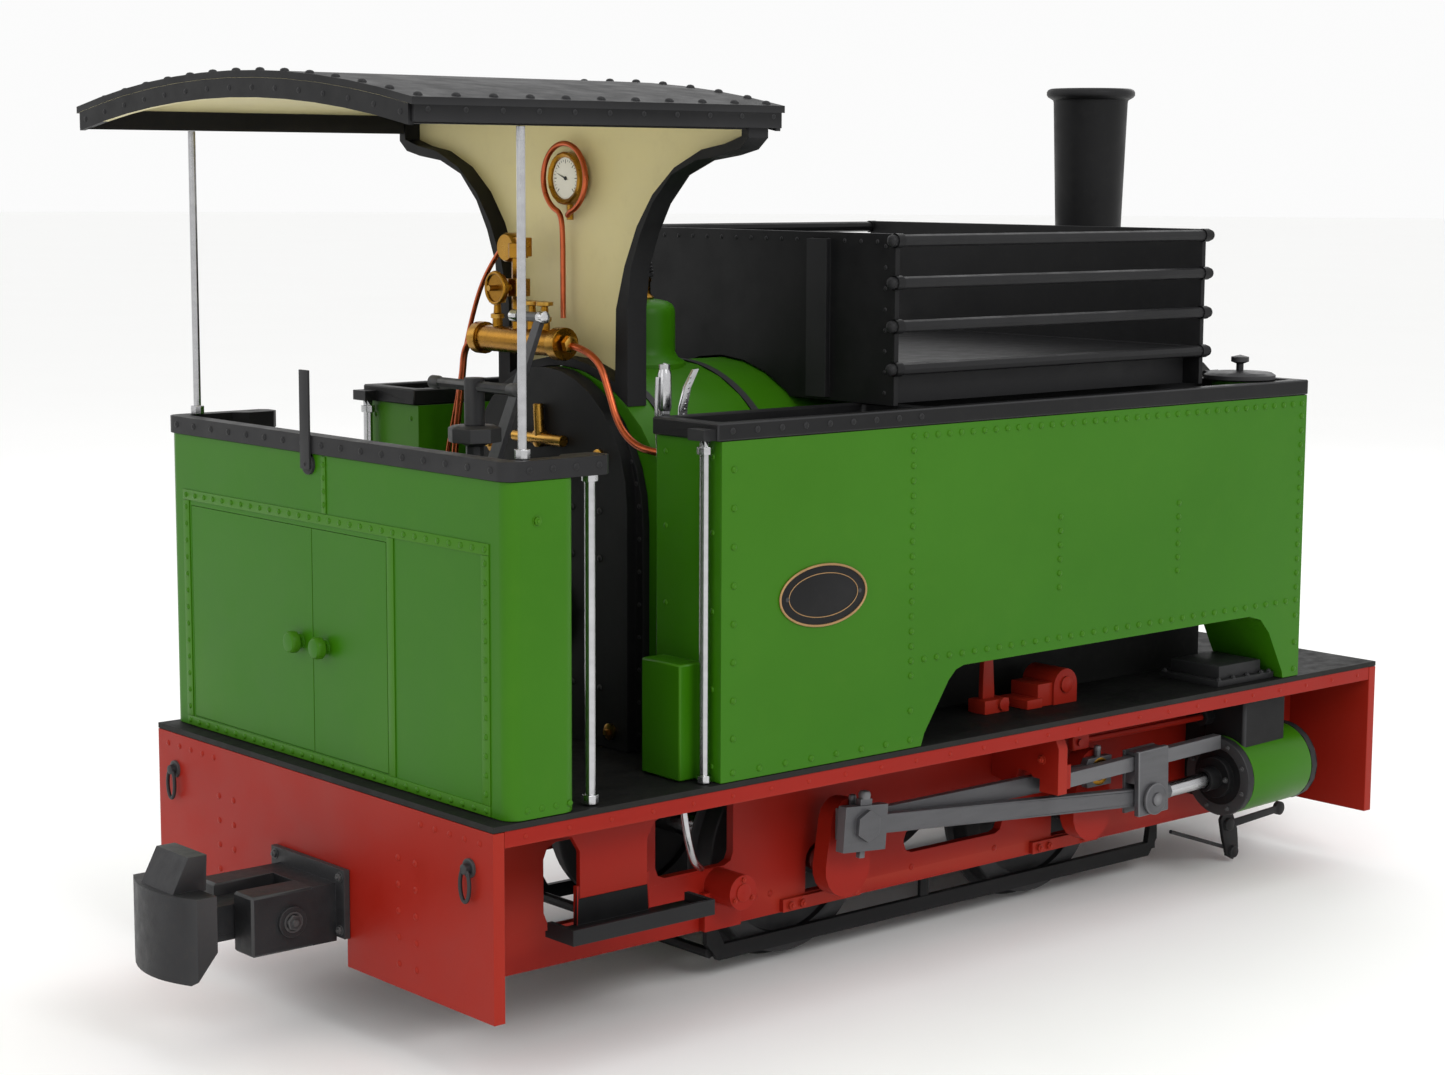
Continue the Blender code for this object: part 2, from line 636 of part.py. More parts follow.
def filler_lid(name, side):
    """A round lid with a knob, hinged on its inner side."""
    low = 1.148 + GAP
    y = side * LID_Y
    axis_y = side * (LID_Y - 0.138)
    profile = [(0, low), (0.132, low), (0.136, low + 0.004), (0.136, low + 0.018)]
    profile += [(0.12, low + 0.028), (0.014, low + 0.034), (0.014, low + 0.06)]
    profile += [(0.034, low + 0.068), (0.034, low + 0.086), (0, low + 0.094)]
    pieces = [
        turned(profile, (LID_X, y, 0), (0, 0, 1), 16),
        block(LID_X - 0.03, LID_X + 0.03, y - side * 0.12, axis_y, low + 0.006, low + 0.024),
        bar((LID_X - 0.04, axis_y, low + 0.015), (LID_X + 0.04, axis_y, low + 0.015), 0.0125, 8),
    ]
    finish(name, "dark", pieces, pivot=(LID_X, axis_y, low + 0.015))


def bunker():
    """The rear tool bunker: a box open at the top, with a doorway in its rear face."""
    outline = rounded(0.065, 0.323, -TANK_OUT, TANK_OUT, 0.05, 4)
    body = plate("z", GAP, 1.0193, outline)
    cuts = [
        block(0.09, 0.30, -0.96, 0.96, 0.84, 1.3),
        block(0.0, 0.084, -0.3514, 0.8494, 0.0386, 0.7774),
        block(0.07, 0.30, -0.33, 0.83, 0.06, 0.755),
    ]
    finish("bunker", "green", [body], cuts=cuts)


def bunker_door(name, hinge_y, far_y):
    """A flat door hinged at its outer edge, with a round knob by the other."""
    side = 1 if hinge_y > far_y else -1
    centre = far_y + side * 0.075
    panel = block(0.065, 0.0825, hinge_y, far_y, 0.04, 0.776)
    profile = [(0, 0), (0.026, 0), (0.024, 0.016), (0.037, 0.026), (0.037, 0.046), (0.03, 0.055)]
    profile += [(0, 0.058)]
    knob = turned(profile, (0.070, centre, 0.397), (-1, 0, 0), 10)
    finish(name, "green", [panel, knob], pivot=(0.065, hinge_y, 0.408))


def bunker_rail():
    """The rail round the top of the bunker, whose arms rest on the rear cab pillars."""
    outer = [(0.43, -0.999)] + arc(0.105, -0.949, 0.05, 270, 180, 3)
    outer += arc(0.105, 0.949, 0.05, 180, 90, 3) + [(0.43, 0.999), (0.455, 0.975), (0.455, 0.925)]
    outer += [(0.43, 0.90), (0.33, 0.90), (0.29, 0.94), (0.115, 0.94)]
    outer += [(0.115, -0.94), (0.29, -0.94), (0.33, -0.90), (0.43, -0.90)]
    outer += [(0.455, -0.925), (0.455, -0.975)]
    ring = plate("z", 1.0193 + GAP, RAIL_TOP, outer)
    pieces = [ring]
    for side in (-1, 1):
        pieces.append(bar((0.402, side * 0.95, GAP), (0.402, side * 0.95, 1.04), 0.017))
        for z in (GAP + 0.002, 0.998):
            pieces.append(bar((0.402, side * 0.95, z), (0.402, side * 0.95, z + 0.03), 0.026))
    finish("bunker_rail", "black", pieces)


def fuel_basket():
    """The open rack over the boiler: end plates, four rails a side and a floor."""
    low = 1.148 + GAP
    half = 0.886
    ends = []
    for x in (1.74, 3.325):
        ends.append(block(x, x + 0.02, -half, half, low, 1.723))
    floor = block(1.75, 3.335, -half + 0.004, half - 0.004, 1.2765, 1.288)
    rails = []
    for z in (1.272, 1.415, 1.56, 1.70):
        for side in (-1, 1):
            y = side * (half + 0.002)
            rails.append(bar((1.722, y, z), (3.363, y, z), 0.021, 8))
    ribs = []
    for y in (-0.52, 0.52):
        ribs.append(block(3.34, 3.365, y - 0.05, y + 0.05, low + 0.01, 1.70))
        ribs.append(block(1.72, 1.745, y - 0.05, y + 0.05, low + 0.01, 1.70))
    cutter = bar((1.5, 0, BOILER_Z), (3.6, 0, BOILER_Z), BOILER_R + 0.006 + GAP, 32)
    finish("fuel_basket", "black", [ends[0], floor, ends[1], *rails, *ribs], cuts=[cutter])


# ---------------------------------------------------------------- cab


def roof_level(y, drop=0.0):
    """Height of the roof's arch, or of a line below it."""
    return 2.225 - 0.0977 * y * y - drop


def arch_line(half, drop, steps=12):
    """Points along the roof's arch from one side to the other."""
    spread = [half * (2 * i / steps - 1) for i in range(steps + 1)]
    return [(y, roof_level(y, drop)) for y in spread]


def roof():
    """The arched roof sheet with a deep edge all round and a stiffening strip below each side."""
    half = 0.99
    sheet = plate("x", -0.255, 1.147, arch_line(half, 0.0) + arch_line(half, 0.022)[::-1])
    pieces = [sheet]
    for low, high in ((-0.2545, -0.235), (1.127, 1.1465)):
        edge = arch_line(half - 0.02, 0.004) + arch_line(half - 0.02, 0.082)[::-1]
        pieces.append(plate("x", low, high, edge))
    for side in (-1, 1):
        pieces.append(block(-0.245, 1.135, side * 0.972, side * 0.989, 2.06, 2.122))
        pieces.append(block(-0.24, 1.012, side * 0.925, side * 0.96, 2.055, 2.125))
    finish("roof", "black", pieces)


def roof_post(name, side):
    y = side * 0.947
    post = bar((0.153, y, RAIL_TOP + GAP), (0.153, y, 2.055 - GAP), 0.0135)
    foot = bar((0.153, y, RAIL_TOP + GAP), (0.153, y, RAIL_TOP + 0.03), 0.024)
    finish(name, "steel", [post, foot])


def weatherboard():
    """The front cab sheet: narrow over the boiler, flared to the roof, with a flanged edge."""
    edge = [(0.362, 1.47), (0.379, 1.607), (0.427, 1.72), (0.489, 1.82), (0.585, 1.913)]
    edge += [(0.708, 1.96), (0.836, 1.976), (0.92, 1.994), (0.965, 2.03)]
    inner = [(0.30, 1.47), (0.345, 1.614), (0.409, 1.745), (0.49, 1.85), (0.60, 1.937)]
    inner += [(0.736, 1.994), (0.85, 2.012), (0.93, 2.035)]
    fit = BOILER_R + GAP
    foot = math.degrees(math.acos(0.362 / fit))
    seat = arc(0, BOILER_Z, fit, 180 - foot, foot, 10)
    under = 0.022 + GAP
    outline = seat + edge + [(0.965, roof_level(0.965, under))]
    outline += arch_line(0.93, under)[::-1] + [(-0.965, roof_level(0.965, under))]
    outline += mirrored(edge)[::-1]
    floor = BOILER_R + 0.03
    foot = math.degrees(math.acos(0.295 / floor))
    seat = arc(0, BOILER_Z, floor, 180 - foot, foot, 8)
    recess = seat + inner + [(0.93, roof_level(0.93, 0.05))]
    recess += arch_line(0.90, 0.05)[::-1] + [(-0.93, roof_level(0.93, 0.05))]
    recess += mirrored(inner)[::-1]
    finish("weatherboard", "cream", [plate("x", 1.02, 1.10, outline)], [plate("x", 1.0, 1.085, recess)])


def steam_manifold():
    """The brass steam fountain on the backhead, with its stop valve standing on it."""
    x = 0.935
    z = 1.349
    body = bar((x, -0.10, z), (x, 0.33, z), 0.045, 20)
    pieces = [
        body,
        bar((x, -0.135, z), (x, -0.09, z), 0.056, 20),
        bar((x, 0.32, z), (x, 0.36, z), 0.056, 20),
        bar((x, 0.13, z), (x, 0.13, 1.70), 0.022),
        bar((x, 0.13, 1.50), (x, 0.13, 1.56), 0.042, 8),
        bar((x, 0.13, 1.63), (x, 0.13, 1.68), 0.036, 8),
        bar((x - 0.085, 0.13, 1.53), (x, 0.13, 1.53), 0.014, 8),
        bar((x - 0.095, 0.13, 1.53), (x - 0.075, 0.13, 1.53), 0.05, 20),
        block(x + 0.02, 1.02 - GAP, 0.10, 0.16, z - 0.03, z + 0.03),
        bar((x, -0.02, z), (x, -0.02, z + 0.075), 0.018),
        bar((x, 0.05, z), (x, 0.05, z + 0.075), 0.018),
        bar((x, 0.25, z), (x, 0.25, z + 0.075), 0.018),
    ]
    finish("steam_manifold", "brass", pieces)


def pressure_gauge():
    """A round gauge on the cab sheet, its glass set back inside the bezel."""
    profile = [(0, 0), (0.075, 0), (0.0895, 0.012), (0.0895, 0.05), (0.083, 0.056)]
    profile += [(0.072, 0.05), (0.072, 0.042), (0, 0.042)]
    case = turned(profile, (1.085 - GAP, 0, 1.90), (-1, 0, 0), 16)
    stem = bar((1.06, 0, 1.83), (1.06, 0, 1.76), 0.012, 8)
    finish("pressure_gauge", "brass", [case, stem])


def regulator_lever():
    """A flat lever leaning over the backhead, with a cross handle at its top."""
    pivot_y, pivot_z = 0.127, 0.90
    tip_y, tip_z = -0.165, 1.445
    length = math.hypot(tip_y - pivot_y, tip_z - pivot_z)
    across = ((tip_z - pivot_z) / length, -(tip_y - pivot_y) / length)
    outline = []
    for y, z, half in ((pivot_y, pivot_z, 0.026), (tip_y, tip_z, 0.016)):
        outline.append((y - across[0] * half, z - across[1] * half))
        outline.append((y + across[0] * half, z + across[1] * half))
    outline = [outline[0], outline[1], outline[3], outline[2]]
    pieces = [
        plate("x", 0.80, 0.82, outline),
        bar((0.79, pivot_y, pivot_z), (0.95 - GAP, pivot_y, pivot_z), 0.034, 16),
        bar((0.81, -0.19, 1.444), (0.81, -0.01, 1.444), 0.0165, 8),
    ]
    finish("regulator_lever", "grey", pieces, pivot=(0.95, pivot_y, pivot_z))


def handbrake():
    """The handbrake column on the cab floor and the T handle that turns on it."""
    x, y = 0.50, -0.22
    profile = [(0, GAP), (0.075, GAP), (0.075, 0.018), (0.035, 0.03), (0.03, 1.04), (0.05, 1.05)]
    profile += [(0.088, 1.055), (0.088, 1.10), (0.07, 1.108), (0, 1.108)]
    finish("handbrake_column", "dark", [turned(profile, (x, y, 0), (0, 0, 1), 8)])
    low = 1.108 + GAP
    pieces = [
        bar((x, y, low), (x, y, 1.262), 0.034, 16),
        bar((x, y - 0.24, 1.235), (x, y + 0.24, 1.235), 0.018, 8),
    ]
    finish("handbrake_handle", "dark", pieces, pivot=(x, y, low))


def reverser_lever():
    """The reversing lever beside the firebox, in the slot between boiler and tank."""
    x, y, z = 0.947, -0.643, 0.20
    outline = [(x - 0.03, z - 0.03), (x + 0.03, z - 0.03), (x + 0.016, 1.16), (x - 0.016, 1.16)]
    pieces = [
        plate("y", y - 0.009, y + 0.009, outline),
        bar((x, y, 1.15), (x, y, 1.31), 0.0185, 8),
        bar((x, y - 0.0285, z), (x, y + 0.03, z), 0.03, 16),
    ]
    finish("reverser_lever", "steel", pieces, pivot=(x, y, z))


# ---------------------------------------------------------------- couplers


def coupler(end, face, way):
    """A housing bolted to the beam and the chopper head that nods on its pin."""

    def along(x):
        return face + way * x

    pin = (0.19, -0.43)
    pieces = [
        block(along(0.10), along(0.33), -0.17, 0.17, -0.527, -0.332, 0.008),
        block(along(GAP), along(0.022), -0.22, 0.22, -0.51, -0.285),
        block(along(0.02), along(0.11), -0.17, 0.17, -0.525, -0.334),
        bar((along(pin[0]), -0.185, pin[1]), (along(pin[0]), 0.185, pin[1]), 0.05, 16),
    ]
    slot = block(along(0.10), along(0.4), -0.062, 0.062, -0.6, -0.25)
    joining(pieces[0], slot, "DIFFERENCE")
    finish("coupler_housing_" + end, "dark", pieces)
    nose = [(along(0.47), -0.20), (along(0.47), 0.20)]
    for i in range(11):
        y = 0.20 - 0.04 * i
        nose.append((along(0.595 - 0.055 * (y / 0.20) ** 2), y))
    head = plate("z", -0.57, -0.294, nose)
    wedge = [(0.57, -0.30), (0.45, -0.30), (0.445, -0.186), (0.51, -0.186)]
    tongue = [(0.49, -0.375), (0.49, -0.485)]
    tongue += [(0.19 - a, b) for a, b in arc(0, -0.43, 0.058, -90, 90, 8)]
    chamfer = [(0.46, -0.46), (0.46, -0.60), (0.565, -0.60), (0.554, -0.573)]
    head_pieces = [
        head,
        plate("y", -0.10, 0.10, [(along(x), z) for x, z in wedge]),
        plate("y", -0.057, 0.057, [(along(x), z) for x, z in tongue]),
    ]
    cuts = [
        plate("y", -0.3, 0.3, [(along(x), z) for x, z in chamfer]),
        bar((along(pin[0]), -0.3, pin[1]), (along(pin[0]), 0.3, pin[1]), 0.05 + GAP, 16),
    ]
    finish("coupler_head_" + end, "dark", head_pieces, cuts, (along(pin[0]), 0, pin[1]))


footplate()
beam("rear_beam", 0.0)
beam("front_beam", LENGTH - 0.041)
brake_rigging()
rear_wheelset = axle("rear_axle", REAR_AXLE, 0.8152)
front_wheelset = axle("front_axle", FRONT_AXLE, 0.8002)
for label, hand in (("right", -1), ("left", 1)):
    frame("frame_" + label, hand)
    footstep("footstep_" + label, hand)
    motion_bracket("motion_bracket_" + label, hand)
    slide_bar("slide_bar_" + label, hand)
    cylinder("cylinder_" + label, hand)
    wheel("rear_wheel_" + label, REAR_AXLE, hand, rear_wheelset)
    wheel("front_wheel_" + label, FRONT_AXLE, hand, front_wheelset)
    coupling_rod("coupling_rod_" + label, hand, rear_wheelset)
    head = crosshead("crosshead_" + label, hand)
    connecting_rod("connecting_rod_" + label, hand, head)
    valve_spindle("valve_spindle_" + label, hand)
    tank("tank_" + label, hand)
    tank_coping("tank_coping_" + label, hand)
    filler_lid("filler_lid_" + label, hand)
    roof_post("roof_post_" + label, hand)
boiler()
smokebox()
smokebox_door()
chimney()
dome()
backhead()
firehole_door()
bunker()
bunker_door("bunker_door_left", 0.848, 0.0815)
bunker_door("bunker_door_right", -0.35, 0.0785)
bunker_rail()
fuel_basket()
roof()
weatherboard()
steam_manifold()
pressure_gauge()
regulator_lever()
handbrake()
reverser_lever()
coupler("rear", 0.0, -1)
coupler("front", LENGTH, 1)
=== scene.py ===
"""Looks of the side-tank steam locomotive: paints, metals, rivets, pipes and fittings on the CAD.

Lengths are in half widths of the footplate, as in the CAD: x from the outer face of the rear beam,
y from the middle and z from the top of the footplate. at() turns them into metres.
"""

import math

import bmesh
import bpy
from mathutils import Matrix, Vector


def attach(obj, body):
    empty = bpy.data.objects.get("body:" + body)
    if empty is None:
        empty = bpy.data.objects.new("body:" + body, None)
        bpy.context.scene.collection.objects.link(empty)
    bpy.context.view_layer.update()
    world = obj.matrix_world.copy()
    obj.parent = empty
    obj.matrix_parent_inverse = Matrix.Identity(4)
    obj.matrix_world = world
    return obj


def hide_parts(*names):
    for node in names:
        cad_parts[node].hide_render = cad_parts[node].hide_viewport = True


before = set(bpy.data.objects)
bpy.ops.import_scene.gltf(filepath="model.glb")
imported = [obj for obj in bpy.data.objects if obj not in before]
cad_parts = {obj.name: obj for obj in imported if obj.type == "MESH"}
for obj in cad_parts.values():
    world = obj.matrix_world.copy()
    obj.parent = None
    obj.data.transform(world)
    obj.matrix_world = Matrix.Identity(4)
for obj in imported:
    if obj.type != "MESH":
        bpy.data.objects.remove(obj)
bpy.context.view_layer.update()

UNIT = 0.235  # metres in a half width
MIDDLE_X = 2.1685  # halfway between the beams
FLOOR_Z = -0.835  # the floor, at which metres start
AXLE_Z = -0.445
REAR_AXLE = 1.667
FRONT_AXLE = 2.922
THROW = 0.163
ROD_LENGTH = 1.468
SLOPE = math.atan(0.03)
CYLINDER_Y = 0.836
BOILER_Z = 0.651
FRAME_OUT = 0.62  # outer face of a frame plate
TANK_OUT = 0.995
COPING_OUT = 0.999
LENGTH = 4.337  # over the two beams
DECK = 0.0006  # just clear of the footplate's top
BUNKER_STRAP = 0.0612  # rear face of the straps on the bunker
CHIMNEY_X = 3.687
DOME_X = 1.38
MANIFOLD_X = 0.935
MANIFOLD_Z = 1.349
BACKHEAD_X = 0.95  # rear face of the backhead
GAUGE_Z = 1.90
REVERSER = (0.947, -0.643)
HANDBRAKE = (0.50, -0.22)
SIDES = (("right", -1), ("left", 1))


def at(x, y, z):
    return Vector(((x - MIDDLE_X) * UNIT, y * UNIT, (z - FLOOR_Z) * UNIT))


def back(point):
    """A point in metres back in half widths."""
    return point.x / UNIT + MIDDLE_X, point.y / UNIT, point.z / UNIT + FLOOR_Z


# ---------------------------------------------------------------- materials


def linear(colour):
    """A colour of 0 to 255 values as linear light, with alpha."""
    shades = [c / 255 for c in colour]
    return [c / 12.92 if c < 0.04045 else ((c + 0.055) / 1.055) ** 2.4 for c in shades] + [1.0]


def surface(name, colour, rough, metal=0.0, vary=0.12, patch=16.0, grain=1100.0, relief=0.05,
            dust=(150, 142, 128), dusting=0.10, wear=(120, 120, 120), worn=0.15, stretch=None,
            gloss=0.5):
    """A paint or metal: uneven shade, dust in patches, worn edges, a fine grain, mixed gloss.

    gloss is the specular level, relief the depth of the grain and stretch the run of its streaks.
    """
    made = bpy.data.materials.new(name)
    made.use_nodes = True
    nodes, links = made.node_tree.nodes, made.node_tree.links
    shader = nodes["Principled BSDF"]
    shader.inputs["Metallic"].default_value = metal
    shader.inputs["Specular IOR Level"].default_value = gloss
    place = nodes.new("ShaderNodeTexCoord").outputs["Object"]
    if stretch:
        scaled = nodes.new("ShaderNodeMapping")
        scaled.inputs["Scale"].default_value = stretch
        links.new(place, scaled.inputs["Vector"])
        streaky = scaled.outputs["Vector"]
    else:
        streaky = place

    def noise(scale, detail, source):
        node = nodes.new("ShaderNodeTexNoise")
        node.inputs["Scale"].default_value = scale
        node.inputs["Detail"].default_value = detail
        node.inputs["Roughness"].default_value = 0.62
        links.new(source, node.inputs["Vector"])
        return node.outputs["Fac"]

    def between(value, low, high, out_low, out_high):
        node = nodes.new("ShaderNodeMapRange")
        for socket, number in zip(("From Min", "From Max", "To Min", "To Max"),
                                  (low, high, out_low, out_high)):
            node.inputs[socket].default_value = number
        links.new(value, node.inputs["Value"])
        return node.outputs["Result"]

    def blend(factor, one, two):
        node = nodes.new("ShaderNodeMix")
        node.data_type = "RGBA"
        links.new(factor, node.inputs[0])
        for slot, value in ((6, one), (7, two)):
            if isinstance(value, list):
                node.inputs[slot].default_value = value
            else:
                links.new(value, node.inputs[slot])
        return node.outputs[2]

    base = linear(colour)
    darker = [c * (1 - vary) for c in base[:3]] + [1.0]
    lighter = [min(1.0, c * (1 + vary) + 0.002) for c in base[:3]] + [1.0]
    broad = noise(patch, 5, streaky)
    shade = blend(between(broad, 0.32, 0.68, 0.0, 1.0), darker, lighter)
    specks = noise(patch * 9, 8, place)
    shade = blend(between(specks, 0.52, 0.80, 0.0, dusting), shade, linear(dust))
    edge = nodes.new("ShaderNodeNewGeometry").outputs["Pointiness"]
    shade = blend(between(edge, 0.53, 0.62, 0.0, worn), shade, linear(wear))
    links.new(shade, shader.inputs["Base Color"])
    polish = between(noise(patch * 4, 6, streaky), 0.3, 0.7, rough * 0.82, rough * 1.22)
    links.new(polish, shader.inputs["Roughness"])
    bump = nodes.new("ShaderNodeBump")
    bump.inputs["Strength"].default_value = relief
    bump.inputs["Distance"].default_value = 0.0006
    links.new(noise(grain, 3, streaky), bump.inputs["Height"])
    links.new(bump.outputs["Normal"], shader.inputs["Normal"])
    return made


GREEN = surface("green_enamel", (46, 102, 3), 0.36, vary=0.045, patch=5, relief=0.03,
                dust=(74, 116, 26), dusting=0.10, wear=(92, 136, 40), worn=0.30, gloss=0.14)
RED = surface("red_enamel", (140, 24, 12), 0.42, vary=0.06, patch=7, relief=0.035,
              dust=(112, 38, 26), dusting=0.10, wear=(186, 74, 52), worn=0.30, gloss=0.14)
BLACK = surface("black_paint", (20, 20, 21), 0.46, vary=0.16, patch=11, relief=0.05,
                dust=(62, 61, 58), dusting=0.08, wear=(90, 90, 92), worn=0.35, gloss=0.14)
MATT = surface("matt_black", (19, 19, 19), 0.60, vary=0.2, patch=14, relief=0.12,
               grain=700, dust=(64, 62, 58), dusting=0.10, wear=(80, 78, 74), worn=0.3, gloss=0.12)
IRON = surface("dark_iron", (38, 38, 40), 0.50, metal=0.3, vary=0.18, patch=22, relief=0.16,
               grain=620, dust=(72, 60, 50), dusting=0.14, wear=(120, 120, 120), worn=0.40,
               gloss=0.3)
STEEL = surface("polished_steel", (176, 176, 178), 0.22, metal=1.0, vary=0.08, patch=30,
                relief=0.015, dust=(110, 106, 98), dusting=0.06, wear=(230, 230, 230), worn=0.3,
                stretch=(1.0, 6.0, 6.0))
GREY = surface("machined_steel", (76, 76, 79), 0.42, metal=0.25, vary=0.10, patch=26,
               relief=0.07, dust=(56, 52, 48), dusting=0.22, wear=(150, 150, 152), worn=0.5,
               stretch=(1.0, 7.0, 7.0))
BRASS = surface("polished_brass", (150, 106, 30), 0.28, metal=1.0, vary=0.18, patch=34,
                relief=0.06, dust=(70, 46, 16), dusting=0.40, wear=(220, 180, 96), worn=0.4)
COPPER = surface("copper_pipe", (180, 88, 54), 0.30, metal=1.0, vary=0.18, patch=30,
                 relief=0.05, dust=(84, 42, 28), dusting=0.35, wear=(226, 150, 112), worn=0.3)
CREAM = surface("cream_paint", (214, 203, 152), 0.50, vary=0.04, patch=6, relief=0.05,
                dust=(150, 134, 96), dusting=0.12, wear=(228, 220, 186), worn=0.3)
DIAL = surface("dial_white", (226, 224, 214), 0.4, vary=0.03, patch=60, relief=0.02,
               dusting=0.05, worn=0.0)
TAN = surface("bronze_rim", (158, 122, 80), 0.40, metal=0.5, vary=0.12, patch=40, relief=0.05,
              dust=(90, 66, 40), dusting=0.25, worn=0.3, wear=(210, 180, 130))
FLOOR = surface("studio_floor", (251, 251, 250), 0.9, vary=0.004, patch=1.2, grain=300,
                relief=0.02, dust=(240, 240, 238), dusting=0.02, worn=0.0)


# ---------------------------------------------------------------- shapes


class Shape:
    """A mesh of several bodies. Each body takes the current paint, a slot number."""

    def __init__(self):
        self.mesh = bmesh.new()
        self.paint = 0

    def face(self, corners):
        made = self.mesh.faces.new(corners)
        made.material_index = self.paint
        made.smooth = True

    def turned(self, profile, start, direction, steps=24, loop=False):
        """Turns (distance, radius) pairs round a line from start."""
        axis = Vector(direction).normalized()
        one = axis.orthogonal().normalized()
        two = axis.cross(one)
        rings = []
        for distance, radius in profile:
            centre = at(*start) + axis * distance * UNIT
            if radius < 1e-6:
                rings.append([self.mesh.verts.new(centre)] * steps)
                continue
            ring = []
            for i in range(steps):
                angle = math.tau * i / steps
                out = one * math.cos(angle) + two * math.sin(angle)
                ring.append(self.mesh.verts.new(centre + out * radius * UNIT))
            rings.append(ring)
        pairs = list(zip(rings, rings[1:]))
        if loop:
            pairs.append((rings[-1], rings[0]))
        for low, high in pairs:
            for i in range(steps):
                j = (i + 1) % steps
                corners = []
                for vert in (low[i], low[j], high[j], high[i]):
                    if vert not in corners:
                        corners.append(vert)
                if len(corners) > 2:
                    self.face(corners)
        return self

    def rod(self, start, end, radius, steps=16):
        """A round bar between two points, its ends a little rounded."""
        length = (at(*end) - at(*start)).length / UNIT
        edge = min(radius, length) * 0.12
        profile = [(0, 0), (0, radius - edge), (edge, radius), (length - edge, radius)]
        profile += [(length, radius - edge), (length, 0)]
        return self.turned(profile, start, at(*end) - at(*start), steps)

    def slab(self, axis, low, high, outline, edge=0.003):
        """A plate across one axis, with its outer edges chamfered."""
        spots = {"x": lambda a, b, c: at(c, a, b), "y": lambda a, b, c: at(a, c, b),
                 "z": lambda a, b, c: at(a, b, c)}
        place = spots[axis]
        old = set(self.mesh.verts)
        rings = [[self.mesh.verts.new(place(a, b, c)) for a, b in outline] for c in (low, high)]
        self.face(rings[0][::-1])
        self.face(rings[1])
        for i in range(len(outline)):
            j = (i + 1) % len(outline)
            self.face([rings[0][i], rings[0][j], rings[1][j], rings[1][i]])
        new = [v for v in self.mesh.verts if v not in old]
        faces = {f for v in new for f in v.link_faces}
        bmesh.ops.recalc_face_normals(self.mesh, faces=list(faces))
        edges = [e for e in {e for v in new for e in v.link_edges}
                 if len(e.link_faces) == 2 and e.calc_face_angle() > 0.6]
        if edge:
            bmesh.ops.bevel(self.mesh, geom=edges, offset=edge * UNIT, segments=2, profile=0.6,
                            affect="EDGES", clamp_overlap=True, material=-1)
        return self

    def block(self, x0, x1, y0, y1, z0, z1, edge=0.003):
        outline = [(x0, y0), (x1, y0), (x1, y1), (x0, y1)]
        return self.slab("z", z0, z1, outline, edge)

    def rivet(self, spot, way, radius=0.0100, height=0.0042):
        profile = [(-0.003, radius), (0, radius), (height * 0.5, radius * 0.88)]
        profile += [(height * 0.85, radius * 0.55), (height, 0)]
        return self.turned(profile, spot, way, 10)

    def bolt(self, spot, way, radius=0.016, height=0.013):
        """A hexagon head on a washer, with the end of its stud."""
        self.turned([(-0.002, 0), (-0.002, radius * 1.3), (height * 0.2, radius * 1.3),
                     (height * 0.2, radius)], spot, way, 16)
        self.turned([(height * 0.2, radius), (height * 0.9, radius), (height, radius * 0.85),
                     (height, 0)], spot, way, 6)
        return self.turned([(height, radius * 0.5), (height * 1.4, radius * 0.42),
                            (height * 1.45, 0)], spot, way, 10)

    def tilt(self):
        """Leans everything made so far with the cylinders."""
        about = at(REAR_AXLE, 0, AXLE_Z)
        turn = (Matrix.Translation(about) @ Matrix.Rotation(-SLOPE, 4, "Y")
                @ Matrix.Translation(-about))
        return self.move(turn)

    def move(self, turn):
        """Puts every vertex so far through a matrix."""
        for vert in self.mesh.verts:
            vert.co = turn @ vert.co
        return self

    def done(self, name, paints, body="engine", stands_for=None, angle=38):
        bmesh.ops.recalc_face_normals(self.mesh, faces=self.mesh.faces[:])
        data = bpy.data.meshes.new(name)
        self.mesh.to_mesh(data)
        self.mesh.free()
        for paint in paints if isinstance(paints, (list, tuple)) else [paints]:
            data.materials.append(paint)
        data.set_sharp_from_angle(angle=math.radians(angle))
        made = bpy.data.objects.new(name, data)
        bpy.context.scene.collection.objects.link(made)
        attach(made, body)
        if stands_for:
            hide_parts(stands_for)
        return made


def pipe(name, points, radius, paint, body="engine", closed=False, smooth=True):
    """A round tube along the points, with rounded bends."""
    data = bpy.data.curves.new(name, "CURVE")
    data.dimensions = "3D"
    data.bevel_depth = radius * UNIT
    data.bevel_resolution = 4
    data.use_fill_caps = True
    data.resolution_u = 10
    line = data.splines.new("NURBS" if smooth else "POLY")
    line.points.add(len(points) - 1)
    for point, spot in zip(line.points, points):
        point.co = (*at(*spot), 1.0)
    if smooth:
        line.order_u = 3
        line.use_endpoint_u = not closed
    line.use_cyclic_u = closed
    data.materials.append(paint)
    made = bpy.data.objects.new(name, data)
    bpy.context.scene.collection.objects.link(made)
    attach(made, body)
    return made


def row(start, end, pitch):
    """Evenly spaced points from start to end."""
    one, two = Vector(start), Vector(end)
    steps = max(1, round((two - one).length / pitch))
    return [tuple(one.lerp(two, i / steps)) for i in range(steps + 1)]


def ring(centre, radius, count, start=0.0):
    """Evenly spaced points round a circle."""
    turns = [math.radians(start) + math.tau * i / count for i in range(count)]
    return [(centre[0] + radius * math.cos(t), centre[1] + radius * math.sin(t)) for t in turns]


def roof_level(y):
    return 2.225 - 0.0977 * y * y


# ---------------------------------------------------------------- the CAD nodes


